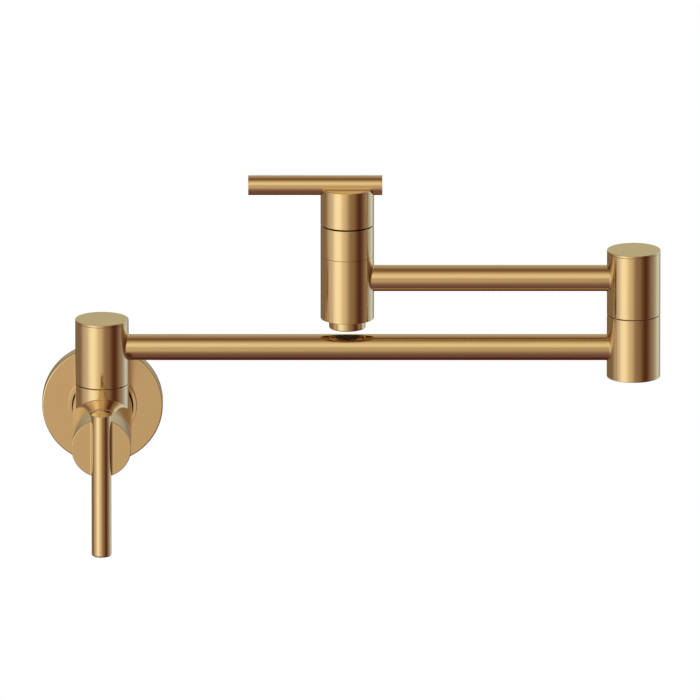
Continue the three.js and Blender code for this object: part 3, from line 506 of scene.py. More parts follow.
def opening_edge(radius, bore, size, centre, phi, side):
    """The rounded edge of an opening and the line on which it ends. It starts on the wall,
    one size outside the bore. With side 1 it climbs a tube that stands in the opening by one
    size, as a fillet, and with side -1 it drops into the hole by as much."""
    sharp = crossing(radius, bore, centre, phi)
    on_wall = crossing(radius, bore + size, centre, phi)
    end = moved(sharp, dx=side * size)
    return eased(on_wall, end, sharp, wall_normals(on_wall), side * spokes(phi)), end


def blind_socket(mouth, phi, bottom, centre):
    """The side and the bottom of a flat-bottomed hole along local x, from its mouth inwards."""
    floor = moved(mouth, x=bottom)
    middle = np.broadcast_to([bottom, 0.0, centre], floor.shape)
    return [strip(mouth, floor, -spokes(phi)), strip(floor, middle, np.array([1.0, 0.0, 0.0]))]

# %% [markdown]
# ## The swivel heads
#
# A head is a thick sleeve with an arm brazed into its side, and the brazing leaves a very
# small fillet round the tube. The inside follows the working drawing: a washer recess, a
# journal, a water chamber, a second journal and a recess for the clip. All of the heads
# share one wall, which takes the height of the arm.

# %% Heads that an arm runs into
ARM_RADIUS = 8.0
BRAZE_FIT = 0.02                  # hairline between tube and socket
BRAZE_FILLET = 0.45
SOCKET_DEPTH = 3.1
SEAM_ROUND = 0.3                  # edges beside the moving seams
TIGHT_ROUND = 0.15                # edges beside the closed seams
WALL_COLUMNS, WALL_ROWS = 16, 16
WALL_REACH = 11.0                 # marked rectangle above and below the arm's axis

WASHER_RECESS_RADIUS, WASHER_RECESS_DEPTH = 14.55, 0.9
JOURNAL = 9.1
CHAMBER_RADIUS, CHAMBER_HALF = 12.0, 7.0
CLIP_RECESS_RADIUS, CLIP_RECESS_DEPTH = 12.7, 4.6

POST_X, ARM_Y = 0.0, -47.0
ELBOW_X, SPOUT_X = middle_of("elbow_cap", X), middle_of("spout_bonnet", X)
LOWER_ARM_Z, UPPER_ARM_Z = middle_of("lower_arm_tube", Z), middle_of("upper_arm_tube", Z)
print("axes at x", POST_X, SPOUT_X, ELBOW_X, "arms at z", LOWER_ARM_Z, UPPER_ARM_Z)


def armed_wall(radius, arm_z):
    """The outer wall of a head near its arm: fillet, socket and the wall around them."""
    socket = ARM_RADIUS + BRAZE_FIT
    grids, phi = pierced_wall(radius, arm_z - WALL_REACH, arm_z + WALL_REACH, arm_z,
                              socket + BRAZE_FILLET, WALL_COLUMNS, WALL_ROWS)
    fillet, on_tube = opening_edge(radius, socket, BRAZE_FILLET, arm_z, phi, 1)
    return [*grids, fillet, *blind_socket(on_tube, phi, radius - SOCKET_DEPTH, arm_z)]


for name, body, arm_z, axes, axis_x in (
        ("post_head", "lower_arm", LOWER_ARM_Z, UPRIGHT, POST_X),
        ("elbow_upper_head", "upper_arm", UPPER_ARM_Z, ARM_TO_LEFT, ELBOW_X)):
    low, high = corners(name)
    radius = radius_of(name, Y)
    clip_floor, washer_top = high[Z] - CLIP_RECESS_DEPTH, low[Z] + WASHER_RECESS_DEPTH
    chamber_top, chamber_foot = arm_z + CHAMBER_HALF, arm_z - CHAMBER_HALF
    profile = [(radius, arm_z + WALL_REACH), (radius, high[Z], TIGHT_ROUND),
               (CLIP_RECESS_RADIUS, high[Z]), (CLIP_RECESS_RADIUS, clip_floor),
               (JOURNAL, clip_floor), (JOURNAL, chamber_top), (CHAMBER_RADIUS, chamber_top),
               (CHAMBER_RADIUS, chamber_foot), (JOURNAL, chamber_foot), (JOURNAL, washer_top),
               (WASHER_RECESS_RADIUS, washer_top), (WASHER_RECESS_RADIUS, low[Z]),
               (radius, low[Z], SEAM_ROUND), (radius, arm_z - WALL_REACH)]
    gold_piece(name, [turned(profile), *armed_wall(radius, arm_z)], gold_round_z, body,
               at(axis_x, ARM_Y, 0.0, axes))

# %% [markdown]
# ## The lower half of the elbow
#
# It is closed underneath, and its bore is stepped: a threaded part for the elbow's spindle
# and a narrower one for the water.

# %% Turn the lower half of the elbow
ELBOW_THREAD_RADIUS, ELBOW_THREAD_DEPTH = 10.1, 9.9
ELBOW_BORE_RADIUS = 8.0

low, high = corners("elbow_lower_head")
radius = radius_of("elbow_lower_head", X)
thread_floor = high[Z] - ELBOW_THREAD_DEPTH
bore_floor = LOWER_ARM_Z - CHAMBER_HALF
upper_profile = [(radius, LOWER_ARM_Z + WALL_REACH), (radius, high[Z], SEAM_ROUND),
                 (ELBOW_THREAD_RADIUS, high[Z]), (ELBOW_THREAD_RADIUS, thread_floor),
                 (ELBOW_BORE_RADIUS, thread_floor), (ELBOW_BORE_RADIUS, bore_floor),
                 (0, bore_floor)]
lower_profile = [(0, low[Z]), (radius, low[Z], SEAM_ROUND), (radius, LOWER_ARM_Z - WALL_REACH)]
gold_piece("elbow_lower_head",
           [turned(upper_profile), turned(lower_profile), *armed_wall(radius, LOWER_ARM_Z)],
           gold_round_z, "lower_arm", at(ELBOW_X, ARM_Y, 0.0, ARM_TO_LEFT))

# %% [markdown]
# ## The caps
#
# A cap is a thin lid with a spigot that locates it in the head. Its top edge is broken by
# a quarter of a millimetre, which shows as one thin bright line in the photograph.

# %% Turn the two caps
CAP_EDGE = 0.25
CAP_LIFT = 0.1                    # the lid rests this far above the spigot's shoulder
SPIGOT_OUTER, SPIGOT_INNER, SPIGOT_LENGTH = 12.6, 11.4, 1.8

for name, body, axis_x in (("post_cap", "lower_arm", POST_X), ("elbow_cap", "upper_arm", ELBOW_X)):
    low, high = corners(name)
    radius = radius_of(name, Y)
    shoulder = round(low[Z] + SPIGOT_LENGTH + CAP_LIFT, 3)
    profile = [(0, shoulder), (SPIGOT_INNER, shoulder), (SPIGOT_INNER, low[Z]),
               (SPIGOT_OUTER, low[Z]), (SPIGOT_OUTER, shoulder), (radius, shoulder, TIGHT_ROUND),
               (radius, high[Z], CAP_EDGE), (0, high[Z])]
    gold_piece(name, [turned(profile)], gold_round_z, body, at(axis_x, ARM_Y, 0.0, UPRIGHT))

# %% [markdown]
# ## The arms
#
# The arms are drawn tube, cut to length and brazed in: four corners, turned about x.

# %% Draw the two tubes
TUBE_BORE = 6.5
CUT_EDGE = 0.1

for name, body, arm_z in (("lower_arm_tube", "lower_arm", LOWER_ARM_Z),
                          ("upper_arm_tube", "upper_arm", UPPER_ARM_Z)):
    low, high = corners(name)
    profile = [(TUBE_BORE, low[X], CUT_EDGE), (ARM_RADIUS, low[X], CUT_EDGE),
               (ARM_RADIUS, high[X], CUT_EDGE), (TUBE_BORE, high[X], CUT_EDGE)]
    gold_piece(name, [turned(profile, closed=True)], gold_round_x, body,
               at(0.0, ARM_Y, arm_z, ALONG_X), made="drawn")

# %% [markdown]
# ## The spout
#
# The spout body has its arm on the right, the seat of the second valve inside and a
# threaded neck for the bonnet. The joint between body and bonnet is closed, so its edges
# are barely broken. The aerator's housing screws in from below.

# %% Turn the spout body, its bonnet and the aerator housing
VALVE_CHAMBER, VALVE_CAVITY, WATERWAY = 11.0, 12.6, 5.5
VALVE_SEAT_ABOVE_FOOT = 14.1
CHAMBER_LENGTH = 17.0
AERATOR_THREAD, AERATOR_SCREW_DEPTH = 9.55, 6.0
NECK_RADIUS, NECK_HEIGHT = 14.2, 3.5
BONNET_BORE, BONNET_HOLE, BONNET_ROOF = 14.35, 8.5, 2.8
AERATOR_SPIGOT, AERATOR_BORE, AERATOR_SCREW, AERATOR_EDGE = 9.4, 8.5, 4.5, 0.8
AERATOR_LIP, AERATOR_LIP_RADIUS, AERATOR_LIP_EDGE = 0.9, 7.6, 0.2

spout_place = at(SPOUT_X, ARM_Y, 0.0, UPRIGHT)
spout_radius = radius_of("spout_body", Y)
low, high = corners("spout_body")
seat, shoulder = low[Z] + VALVE_SEAT_ABOVE_FOOT, high[Z] - NECK_HEIGHT
profile = [(spout_radius, UPPER_ARM_Z + WALL_REACH), (spout_radius, shoulder, TIGHT_ROUND),
           (NECK_RADIUS, shoulder), (NECK_RADIUS, high[Z]), (VALVE_CAVITY, high[Z]),
           (VALVE_CAVITY, seat + CHAMBER_LENGTH), (VALVE_CHAMBER, seat + CHAMBER_LENGTH),
           (VALVE_CHAMBER, seat), (WATERWAY, seat), (WATERWAY, low[Z] + AERATOR_SCREW_DEPTH),
           (AERATOR_THREAD, low[Z] + AERATOR_SCREW_DEPTH), (AERATOR_THREAD, low[Z]),
           (spout_radius, low[Z], SEAM_ROUND), (spout_radius, UPPER_ARM_Z - WALL_REACH)]
gold_piece("spout_body", [turned(profile), *armed_wall(spout_radius, UPPER_ARM_Z)],
           gold_round_z, "upper_arm", spout_place)

low, high = corners("spout_bonnet")
profile = [(BONNET_BORE, low[Z]), (spout_radius, low[Z], TIGHT_ROUND),
           (spout_radius, high[Z], SEAM_ROUND), (BONNET_HOLE, high[Z], TIGHT_ROUND),
           (BONNET_HOLE, high[Z] - BONNET_ROOF), (BONNET_BORE, high[Z] - BONNET_ROOF)]
gold_piece("spout_bonnet", [turned(profile, closed=True)], gold_round_z, "upper_arm", spout_place)

low, high = corners("aerator_housing")
aerator_radius = radius_of("aerator_housing", Y)
ledge, lip_top = high[Z] - AERATOR_SCREW, low[Z] + AERATOR_LIP
profile = [(AERATOR_LIP_RADIUS, low[Z], AERATOR_LIP_EDGE), (aerator_radius, low[Z], AERATOR_EDGE),
           (aerator_radius, ledge, CUT_EDGE), (AERATOR_SPIGOT, ledge),
           (AERATOR_SPIGOT, high[Z]), (AERATOR_BORE, high[Z]),
           (AERATOR_BORE, lip_top), (AERATOR_LIP_RADIUS, lip_top)]
gold_piece("aerator_housing", [turned(profile, closed=True)], gold_round_z, "upper_arm",
           spout_place)

# %% [markdown]
# ## The wall valve body
#
# This is the tap's backbone. Its rear has the threaded inlet, a pipe thread of 14 turns to
# the inch with rounded crests and roots, which a sine wave along the bore describes well:
# the wave moves on by one pitch in each turn, and that makes it a helix. The upright stub
# grows out of the side with the same rings as an arm, only larger.

# %% Turn the valve body with its stub and inlet thread
PITCH = 25.4 / 14
THREAD_DEPTH = 1.0
INLET_RADIUS, INLET_DEPTH, INLET_CHAMFER = 9.45, 15.0, 1.2
STEPS_PER_PITCH = 12
STUB_COLUMNS, STUB_ROWS, STUB_RINGS = 28, 40, 10
STUB_REACH = 19.0                 # marked rectangle to the front and rear of the stub's axis
STUB_FILLET = 0.35
FOOT_BORE, FOOT_DEPTH = 10.1, 9.9
BODY_EDGE = 0.35
SEAT_Y = -40.2                    # the cartridge's seat, where the valve's own frame starts

valve_place = at(0.0, SEAT_Y, 0.0, OUT_OF_WALL)
valve_place_hole_down = at(0.0, SEAT_Y, 0.0, OUT_OF_WALL_HOLE_DOWN)
post_z = SEAT_Y - ARM_Y           # the post's axis in the valve's own frame


def along_valve(node):
    """Rear and front of a node in the valve's own frame, which looks out of the wall."""
    low, high = corners(node)
    return SEAT_Y - high[Y], SEAT_Y - low[Y]


def threaded_bore(low_z, high_z, radius):
    """An inner thread: radius + depth * (1 - cos(2 pi (z / pitch - angle / turn))) / 2,
    fading out over one pitch at both ends. Its normals are those of the sloping flanks."""
    rows = int((high_z - low_z) / PITCH * STEPS_PER_PITCH)
    z, angle = np.meshgrid(np.linspace(low_z, high_z, rows), np.linspace(0, 2 * np.pi, SIDES + 1),
                           indexing="ij")
    wave = 2 * np.pi * z / PITCH - angle
    fade = np.clip(np.minimum(z - low_z, high_z - z) / PITCH, 0, 1)
    r = radius + THREAD_DEPTH * fade * (1 - np.cos(wave)) / 2
    slope_z = THREAD_DEPTH * fade * np.sin(wave) * np.pi / PITCH
    slope_a = -THREAD_DEPTH * fade * np.sin(wave) / 2 / r
    c, s = np.cos(angle), np.sin(angle)
    points = np.stack([r * c, r * s, z], -1)
    normals = -np.stack([c + slope_a * s, s - slope_a * c, -slope_z], -1)
    return points, unit(normals)


rear, front = along_valve("valve_body")
floor = rear + INLET_DEPTH
body_radius = radius_of("wall_knob", X)
stub_radius = radius_of("post_head", Y)
stub_top = corners("valve_body")[1][Z]
grids, phi = pierced_wall(body_radius, post_z - STUB_REACH, post_z + STUB_REACH, post_z,
                          stub_radius + STUB_FILLET, STUB_COLUMNS, STUB_ROWS, rings=STUB_RINGS)
fillet, on_stub = opening_edge(body_radius, stub_radius, STUB_FILLET, post_z, phi, 1)
side_top = moved(on_stub, x=stub_top - SEAM_ROUND)
lid, lid_normals = turned([
    (stub_radius, stub_top - SEAM_ROUND), (stub_radius, stub_top, SEAM_ROUND),
    (FOOT_BORE, stub_top), (FOOT_BORE, stub_top - FOOT_DEPTH), (0, stub_top - FOOT_DEPTH)],
    angles=phi)
grids += [fillet, strip(on_stub, side_top, spokes(phi)),
          (lid @ ALONG_X + [0, 0, post_z], lid_normals @ ALONG_X)]
grids.append(threaded_bore(rear + INLET_CHAMFER, floor, INLET_RADIUS))
grids.append(turned([
    (body_radius, post_z + STUB_REACH), (body_radius, front, BODY_EDGE),
    (VALVE_CAVITY, front, CUT_EDGE), (VALVE_CAVITY, CHAMBER_LENGTH),
    (VALVE_CHAMBER, CHAMBER_LENGTH), (VALVE_CHAMBER, 0), (WATERWAY, 0),
    (WATERWAY, floor), (INLET_RADIUS, floor)]))
grids.append(turned([
    (INLET_RADIUS, rear + INLET_CHAMFER), (INLET_RADIUS + INLET_CHAMFER, rear),
    (body_radius, rear, SEAM_ROUND), (body_radius, post_z - STUB_REACH)]))
gold_piece("valve_body", grids, gold_round_y, "wall_side", valve_place)

# %% [markdown]
# ## The cover plate and its gasket
#
# The plate hides the hole in the tiles. It has a hub round the valve body, held by a small
# screw from below, and a rubber ring in a groove behind it. The screw's hole is short, so
# the same marked rectangle as for the arms does, only smaller.

# %% Turn the cover plate and mould the gasket
PLATE_EDGE = 0.8
HUB_RADIUS, HUB_PROUD, HUB_BORE, HUB_EDGE = 20.9, 3.1, 18.85, 0.2
SNUG_BORE, GAP_DEPTH = 18.27, 1.2  # the gap narrows to a close fit and swallows the light
POCKET_RADIUS, POCKET_DEPTH = 26.0, 6.0
GROOVE_INNER, GROOVE_OUTER, GROOVE_DEPTH = 28.4, 32.6, 1.5
SCREW_HOLE, SCREW_HOLE_EDGE, SCREW_HOLE_FLOOR = 1.15, 0.1, HUB_BORE + 0.4
SCREW_COLUMNS = 3
HOLE_ROWS = 10
MARK_MARGIN = 0.01                # between the marked rectangle and the hub's front edge
GASKET_FIT, GASKET_ROUND = 0.1, 0.3

back, hub_face = along_valve("wall_plate")
plate_radius = radius_of("wall_plate", X)
face = hub_face - HUB_PROUD
hole_z = face + HUB_PROUD / 2
wall_low, wall_high = face + HUB_EDGE, hub_face - HUB_EDGE - MARK_MARGIN
grids, phi = pierced_wall(HUB_RADIUS, wall_low, wall_high, hole_z, SCREW_HOLE + SCREW_HOLE_EDGE,
                          SCREW_COLUMNS, HOLE_ROWS)
hole_edge, in_hole = opening_edge(HUB_RADIUS, SCREW_HOLE, SCREW_HOLE_EDGE, hole_z, phi, -1)
grids += [hole_edge, *blind_socket(in_hole, phi, SCREW_HOLE_FLOOR, hole_z)]
grids.append(turned([
    (HUB_RADIUS, wall_high), (HUB_RADIUS, hub_face, HUB_EDGE), (HUB_BORE, hub_face, HUB_EDGE),
    (SNUG_BORE, hub_face - GAP_DEPTH), (SNUG_BORE, back + POCKET_DEPTH),
    (POCKET_RADIUS, back + POCKET_DEPTH), (POCKET_RADIUS, back), (GROOVE_INNER, back),
    (GROOVE_INNER, back + GROOVE_DEPTH), (GROOVE_OUTER, back + GROOVE_DEPTH),
    (GROOVE_OUTER, back), (plate_radius, back, CUT_EDGE), (plate_radius, face, PLATE_EDGE),
    (HUB_RADIUS, face, HUB_EDGE), (HUB_RADIUS, wall_low)]))
gold_piece("wall_plate", grids, gold_round_y, "wall_side", valve_place_hole_down)

gasket_back, gasket_front = along_valve("wall_gasket")
inner, outer = GROOVE_INNER + GASKET_FIT, GROOVE_OUTER - GASKET_FIT
profile = [(inner, gasket_back, GASKET_ROUND), (outer, gasket_back, GASKET_ROUND),
           (outer, gasket_front, GASKET_ROUND), (inner, gasket_front, GASKET_ROUND)]
make_piece("wall_gasket_moulded", [turned(profile, closed=True)], working["rubber"], "wall_side",
           ["wall_gasket"], valve_place)

# %% [markdown]
# ## The knobs
#
# Both handles are built the same way: a hollow knob on the valve's stem, with a hub inside
# it and a hole through its wall to reach the grub screw. The hole needs an opening in the
# outer and in the inner wall, joined by a short drilled bore with a slightly broken edge.

# %% Turn the two knobs
KNOB_WALL = 3.0
KNOB_EDGE, KNOB_REAR_EDGE = 0.45, 0.35
CEILING_BELOW_FACE = 8.5
KNOB_HUB, KNOB_HUB_LENGTH, STEM_BORE = 7.0, 10.0, 4.15
ACCESS_HOLE, ACCESS_EDGE, ACCESS_ABOVE_REAR = 2.4, 0.25, 8.1
ACCESS_REACH, ACCESS_COLUMNS = 5.0, 6

spout_hole_back = at(SPOUT_X, ARM_Y, 0.0, UPRIGHT_HOLE_BACK)


def knob(name, body, radius, rear, front, material, place):
    """A hollow knob round local z with its access hole on the local +x side."""
    cavity, ceiling = radius - KNOB_WALL, front - CEILING_BELOW_FACE
    hole_z, hub_foot = rear + ACCESS_ABOVE_REAR, ceiling - KNOB_HUB_LENGTH
    low_z, high_z = hole_z - ACCESS_REACH, hole_z + ACCESS_REACH
    outer, phi = pierced_wall(radius, low_z, high_z, hole_z, ACCESS_HOLE + ACCESS_EDGE,
                              ACCESS_COLUMNS, HOLE_ROWS)
    inner, _ = pierced_wall(cavity, low_z, high_z, hole_z, ACCESS_HOLE,
                            ACCESS_COLUMNS, HOLE_ROWS, outward=-1, phi=phi)
    hole_edge, in_hole = opening_edge(radius, ACCESS_HOLE, ACCESS_EDGE, hole_z, phi, -1)
    drilled = strip(in_hole, crossing(cavity, ACCESS_HOLE, hole_z, phi), -spokes(phi))
    face = turned([(radius, high_z), (radius, front, KNOB_EDGE), (0, front)])
    inside = turned([(0, ceiling), (STEM_BORE, ceiling), (STEM_BORE, hub_foot),
                     (KNOB_HUB, hub_foot), (KNOB_HUB, ceiling), (cavity, ceiling),
                     (cavity, high_z)])
    rim = turned([(cavity, low_z), (cavity, rear, KNOB_REAR_EDGE),
                  (radius, rear, KNOB_REAR_EDGE), (radius, low_z)])
    gold_piece(name, [*outer, *inner, hole_edge, drilled, face, inside, rim], material, body,
               place)


wall_rear, wall_front = along_valve("wall_knob")
knob("wall_knob", "wall_handle", body_radius, wall_rear, wall_front, gold_round_y,
     valve_place_hole_down)

spout_rear, spout_front = (corner[Z] for corner in corners("spout_knob"))
knob("spout_knob", "spout_handle", spout_radius, spout_rear, spout_front, gold_round_z,
     spout_hole_back)

# %% [markdown]
# ## The rods across the knobs
#
# A straight rod lies in a round groove across each knob, with its axis a little in front of
# the face, and a small fillet runs along both of its sides. In the photograph that fillet
# is a bright line on one side and a dark line on the other. Its cross-section is an arc
# that touches the face and the rod, so its centre is one fillet above the face and one rod
# radius plus one fillet from the rod's axis. The ends stop at the knob's round wall.

# %% Make the rods and the fillets beside them
ROD_PROUD = 1.3                   # how far the rod's axis lies in front of the face
ROD_FILLET = 0.8
ROD_CUT_EDGE = 0.2
LEVER_END_ROUND = 1.2
ROOT_IN_ROD, ROOT_IN_FACE = 1.0, 0.5  # how deep the fillet's hidden edge is buried


def rod_fillets(name, body, radius, front, rod_radius, material, place):
    """Two concave strips beside a rod that runs along local x over a face at z = front. At
    each angle of the arc, y = centre + fillet cos and z = front + fillet + fillet sin."""
    centre_y = np.sqrt((rod_radius + ROD_FILLET) ** 2 - (ROD_PROUD - ROD_FILLET) ** 2)
    to_rod = np.arctan2(ROD_PROUD - ROD_FILLET, -centre_y)
    angle = np.linspace(1.5 * np.pi, to_rod, 2 * ARC_STEPS + 1)
    arc_y = centre_y + ROD_FILLET * np.cos(angle)
    arc_z = front + ROD_FILLET + ROD_FILLET * np.sin(angle)
    root_y = np.full_like(arc_y, rod_radius - ROOT_IN_ROD)
    root_z = np.full_like(arc_z, front - ROOT_IN_FACE)

    def outline(y, z, side, end):
        reach = np.sqrt(radius ** 2 - y ** 2) - KNOB_EDGE / 2
        return np.stack([end * reach, side * y, z], -1)

    grids = []
    for side in (1.0, -1.0):
        arcs = np.stack([outline(arc_y, arc_z, side, end) for end in (-1.0, 1.0)])
        roots = np.stack([outline(root_y, root_z, side, end) for end in (-1.0, 1.0)])
        normal = np.stack([0 * angle, -side * np.cos(angle), -np.sin(angle)], -1)
        grids.append((arcs, np.stack([normal, normal])))
        grids += [strip(arcs[0], roots[0], np.array([-1.0, 0.0, 0.0])),
                  strip(arcs[1], roots[1], np.array([1.0, 0.0, 0.0])),
                  strip(arcs[:, 0], roots[:, 0], np.array([0.0, 0.0, -1.0])),
                  strip(arcs[:, -1], roots[:, 0], np.array([0.0, -side, 0.0]))]
    make_piece(name, grids, material, body, (), place)


low, high = corners("wall_lever")
lever_radius = radius_of("wall_lever", X)
profile = [(0, low[Z]), (lever_radius, low[Z], LEVER_END_ROUND),
           (lever_radius, high[Z], ROD_CUT_EDGE), (0, high[Z])]
gold_piece("wall_lever", [turned(profile)], gold_round_z, "wall_handle",
           at(0.0, middle_of("wall_lever", Y), 0.0, UPRIGHT))
rod_fillets("wall_lever_fillets", "wall_handle", body_radius, wall_front, lever_radius,
            gold_round_z, valve_place)

low, high = corners("spout_bar")
bar_radius = radius_of("spout_bar", Y)
profile = [(0, low[X]), (bar_radius, low[X], ROD_CUT_EDGE), (bar_radius, high[X], ROD_CUT_EDGE),
           (0, high[X])]
gold_piece("spout_bar", [turned(profile)], gold_round_x, "spout_handle",
           at(0.0, ARM_Y, middle_of("spout_bar", Z), ALONG_X))
rod_fillets("spout_bar_fillets", "spout_handle", spout_radius, spout_front, bar_radius,
            gold_round_x, spout_place)

# %% [markdown]
# ## The grub screws
#
# Three small screws hold the knobs and the cover plate. Each has a hexagon socket. A
# hexagon is a circle whose radius depends on the angle: the flat's distance divided by the
# cosine of the angle from the middle of that flat.

# %% Make the grub screws
SOCKET_SHARE = 0.5                # the socket's corners, as a share of the screw's radius
SCREW_EDGE_SHARE = 0.1
SCREW_SIDES = 48
KNOB_SCREW = 2.0, 1.6, 3.5, 8.0   # radius, socket's depth, its ends' distances from the stem
PLATE_SCREW = 1.0, 1.0            # radius and socket's depth


def grub_screw(name, body, radius, depth, inner, outer, centre, place):
    """A screw along local x from inner to outer, with its socket at the outer end."""
    angle = np.linspace(0, 2 * np.pi, SCREW_SIDES + 1)
    flat = SOCKET_SHARE * radius * np.cos(np.pi / 6)
    hexagon = flat / np.cos(np.mod(angle, np.pi / 3) - np.pi / 6)

    def ring(r, x):
        return np.stack([np.full_like(angle, x), r * np.cos(angle), centre + r * np.sin(angle)], -1)

    away, forward = spokes(angle), np.array([1.0, 0.0, 0.0])
    edge, floor = SCREW_EDGE_SHARE * radius, outer - depth
    grids = [strip(ring(0, inner), ring(radius, inner), -forward),
             strip(ring(radius, inner), ring(radius, outer - edge), away),
             eased(ring(radius, outer - edge), ring(radius - edge, outer), ring(radius, outer),
                   away, np.broadcast_to(forward, away.shape)),
             strip(ring(radius - edge, outer), ring(hexagon, outer), forward),
             strip(ring(hexagon, outer), ring(hexagon, floor), -away),
             strip(ring(hexagon, floor), ring(0, floor), forward)]
    make_piece(name + "_turned", grids, working["stainless"], body, [name], place)


grub_screw("wall_knob_screw", "wall_handle", *KNOB_SCREW, wall_rear + ACCESS_ABOVE_REAR,
           valve_place_hole_down)
grub_screw("spout_knob_screw", "spout_handle", *KNOB_SCREW, spout_rear + ACCESS_ABOVE_REAR,
           spout_hole_back)
low, high = corners("plate_set_screw")
grub_screw("plate_set_screw", "wall_side", *PLATE_SCREW, -high[Z], -low[Z],
           SEAT_Y - middle_of("plate_set_screw", Y), valve_place_hole_down)

# %% [markdown]
# ## The working parts
#
# Cartridges, seals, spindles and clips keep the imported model's own meshes. They only need
# the right material, which the record names for each node.

# %% Give the working parts their materials
slots = {row["node"]: row["material_slot"] for row in frame["record"]["subparts"]}
for name, node in frame["nodes"].items():
    node.data.materials.clear()
    node.data.materials.append(working.get(slots[name], gold_round_z))
print("kept nodes", sum(not node.hide_render for node in frame["nodes"].values()))

# %% [markdown]
# ## The studio
#
# Polished metal has no look of its own, it shows the room. A photographer therefore builds
# a tent of white cloth round it and lights the cloth in soft pools. Here the tent is a large
# sphere that glows from inside. Each pool of light is a smooth hill on it: its strength falls
# off as exp(-((across / width)^2 + (above / height)^2) / 2), where across and above are the
# angles from its middle. Only reflections see the tent. The camera and the floor don't.

# %% Hang the light tent
TENT_RADIUS = 4000.0
TENT_CENTRE = np.array([152.0, -55.0, 45.0])
TENT_STEP = 2                     # degrees between the points of the tent
TENT_DIM_GLOW = (0.075, 0.005, 0.0)  # red, green and blue of the tent's own dim warm brown glow between the pools, which the metal mirrors as its dark bands

# azimuth from the camera's side, elevation, width and height in degrees, strength, tone
POOLS = {
    "softbox left of the camera": (-50, -2, 12, 24, 1.2, "FAFFF0"),
    "its flank towards the camera": (-30, 0, 10, 22, 0.98, "FFFFE2"),
    "its far flank": (-80, 2, 14, 24, 0.7, "FFFCEC"),
    "cloth beside the lens": (-8, -10, 11, 14, 0.6, "FFFAD8"),
    "cloth over the lens": (0, 20, 12, 12, 0.54, "FFF6CC"),
    "softbox over the camera": (-10, 38, 20, 13, 0.7, "F8FFE6"),
    "its spill on the ceiling": (0, 60, 14, 14, 0.43, "FFEAB6"),
    "cloth right of the lens": (25, 0, 13, 24, 0.26, "FFEEC2"),
    "cloth at the right": (88, 4, 15, 24, 0.32, "FFF6DE"),
    "window behind at the right": (128, 4, 18, 24, 1.3, "D8F4FF"),
    "backdrop": (180, 20, 26, 20, 0.54, "F2FFDC"),
    "ceiling behind": (180, 62, 18, 18, 0.32, "FFF8D8"),
    "cloth behind at the left": (-125, 2, 22, 26, 0.23, "FFFFDA"),
    "bounce from the table": (0, -36, 16, 16, 0.18, "FFE0D2"),
    "bounce from the ground": (0, -72, 20, 20, 0.1, "FFFAF0"),
}


def direction(azimuth, elevation):
    """Unit vector: azimuth 0 points at the camera's side, -y, and 90 points along +x."""
    a, e = np.radians(azimuth), np.radians(elevation)
    return np.stack([np.sin(a) * np.cos(e), -np.cos(a) * np.cos(e), np.sin(e)], -1)


def stage_grid(name, points, material):
    """A grid of points in metres as one smooth mesh for the studio."""
    mesh = bpy.data.meshes.new(name)
    mesh.from_pydata(points.reshape(-1, 3), [], grid_faces(*points.shape[:2]).tolist(),
                     shade_flat=False)
    mesh.materials.append(material)
    return put(name, mesh)


towards = direction(*np.meshgrid(np.linspace(-180, 180, 360 // TENT_STEP + 1),
                                 np.linspace(-90, 90, 180 // TENT_STEP + 1)))
glow = np.broadcast_to(TENT_DIM_GLOW, towards.shape).copy()
for azimuth, elevation, width, height, strength, tone in POOLS.values():
    centre, over = direction(azimuth, elevation), direction(azimuth, elevation + 90)
    across = np.degrees(np.arctan2(towards @ direction(azimuth + 90, 0), towards @ centre))
    above = np.degrees(np.arcsin(np.clip(towards @ over, -1, 1)))
    hill = np.exp(-((across / width) ** 2 + (above / height) ** 2) / 2)
    glow += hill[..., None] * strength * np.array(colour(tone)[:3])

tent_material, tree, _ = start_material("glowing_cloth")
cloth = add(tree, "Attribute", attribute_name="glow")
finish_material(tree, add(tree, "Emission", [("Color", cloth.outputs["Color"])]).outputs[0])
tent_material.cycles.emission_sampling = "NONE"
tent = stage_grid("light_tent", (towards * TENT_RADIUS + TENT_CENTRE) * MM, tent_material)
painted = tent.data.attributes.new("glow", "FLOAT_COLOR", "POINT")
opaque = np.ones((*glow.shape[:2], 1))
painted.data.foreach_set("color", np.concatenate([glow, opaque], -1).ravel())
tent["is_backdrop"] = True
tent.visible_camera = tent.visible_diffuse = tent.visible_shadow = False
print("tent from", glow.min().round(3), "to", glow.max().round(3))

# %% [markdown]
# ## Floor, background and lamp
#
# The tap hangs high over a plain pale floor, which carries its soft shadow and is only
# there from above. The background is white for the camera and in mirrors and glass, while
# it lights matt surfaces a little less strongly.

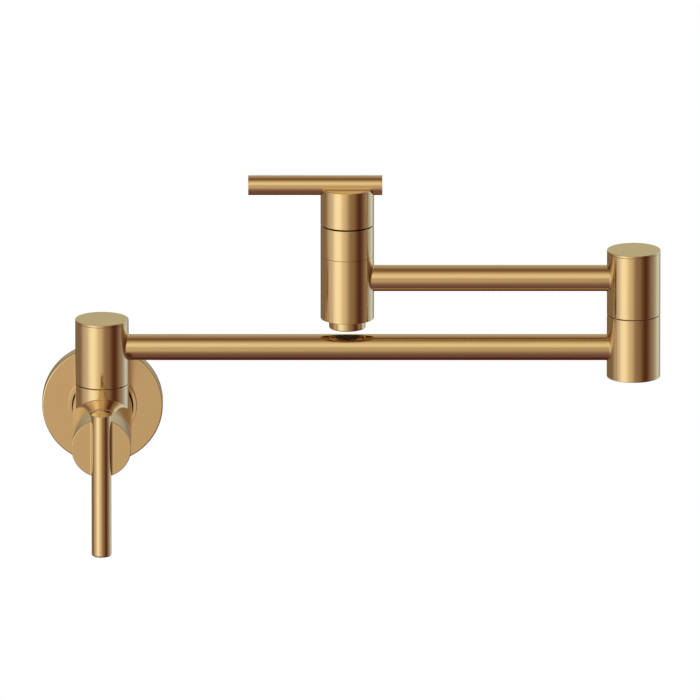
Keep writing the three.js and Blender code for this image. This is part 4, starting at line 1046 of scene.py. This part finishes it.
# %% Lay the floor, set the background and hang the lamp
FLOOR_Z, FLOOR_HALF, FLOOR_POINTS = -4.2, 6.0, 9  # metres, and points along one side
WHITE = (1.0, 1.0, 1.0, 1.0)
BACKGROUND_STRENGTH, FILL_STRENGTH = 1.0, 0.75
LAMP_SIZE, LAMP_POWER = 1.6, 60.0
LAMP_PLACE = (-0.9, -1.9, 2.6)
LAMP_TILT, LAMP_TURN = np.radians(36), np.radians(-28)

floor_material, tree, _ = start_material("pale_painted_floor")
paint = add(tree, "BsdfDiffuse", [("Color", colour("F7F7F5"))])
clear = add(tree, "BsdfTransparent")
back_side = add(tree, "NewGeometry").outputs["Backfacing"]
one_sided = add(tree, "MixShader", [(0, back_side), (1, paint.outputs[0]), (2, clear.outputs[0])])
finish_material(tree, one_sided.outputs[0])
along = np.linspace(-FLOOR_HALF, FLOOR_HALF, FLOOR_POINTS)
floor_x, floor_y = np.meshgrid(along, along, indexing="ij")
floor_object = stage_grid(
    "floor", np.stack([floor_x, floor_y, np.full_like(floor_x, FLOOR_Z)], -1), floor_material)
floor_object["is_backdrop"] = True

world = bpy.data.worlds.new("studio")
bpy.context.scene.world = world
world.use_nodes = True
tree = world.node_tree
tree.nodes.clear()
path = add(tree, "LightPath")
seen = path.outputs["Is Camera Ray"]
for ray in ("Is Glossy Ray", "Is Transmission Ray"):
    seen = add(tree, "Math", [(0, seen), (1, path.outputs[ray])], operation="MAXIMUM").outputs[0]
fill, white = (add(tree, "Background", [("Color", WHITE), ("Strength", strength)]).outputs[0]
               for strength in (FILL_STRENGTH, BACKGROUND_STRENGTH))
mixed = add(tree, "MixShader", [(0, seen), (1, fill), (2, white)])
add(tree, "OutputWorld", [("Surface", mixed.outputs[0])])

lamp_data = bpy.data.lights.new("softbox", "AREA")
lamp_data.shape = "DISK"
lamp_data.size = LAMP_SIZE
lamp_data.energy = LAMP_POWER
lamp = put("softbox", lamp_data)
lamp.location = LAMP_PLACE
lamp.rotation_euler = (LAMP_TILT, 0.0, LAMP_TURN)
lamp.visible_glossy = False

bpy.context.scene.view_settings.view_transform = "Standard"
print("floor at", FLOOR_Z, "m, lamp at", LAMP_PLACE)

# %% Print the visual size and finish
low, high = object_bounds()
print("visual size in mm", np.round((np.array(high) - np.array(low)) / MM, 2))
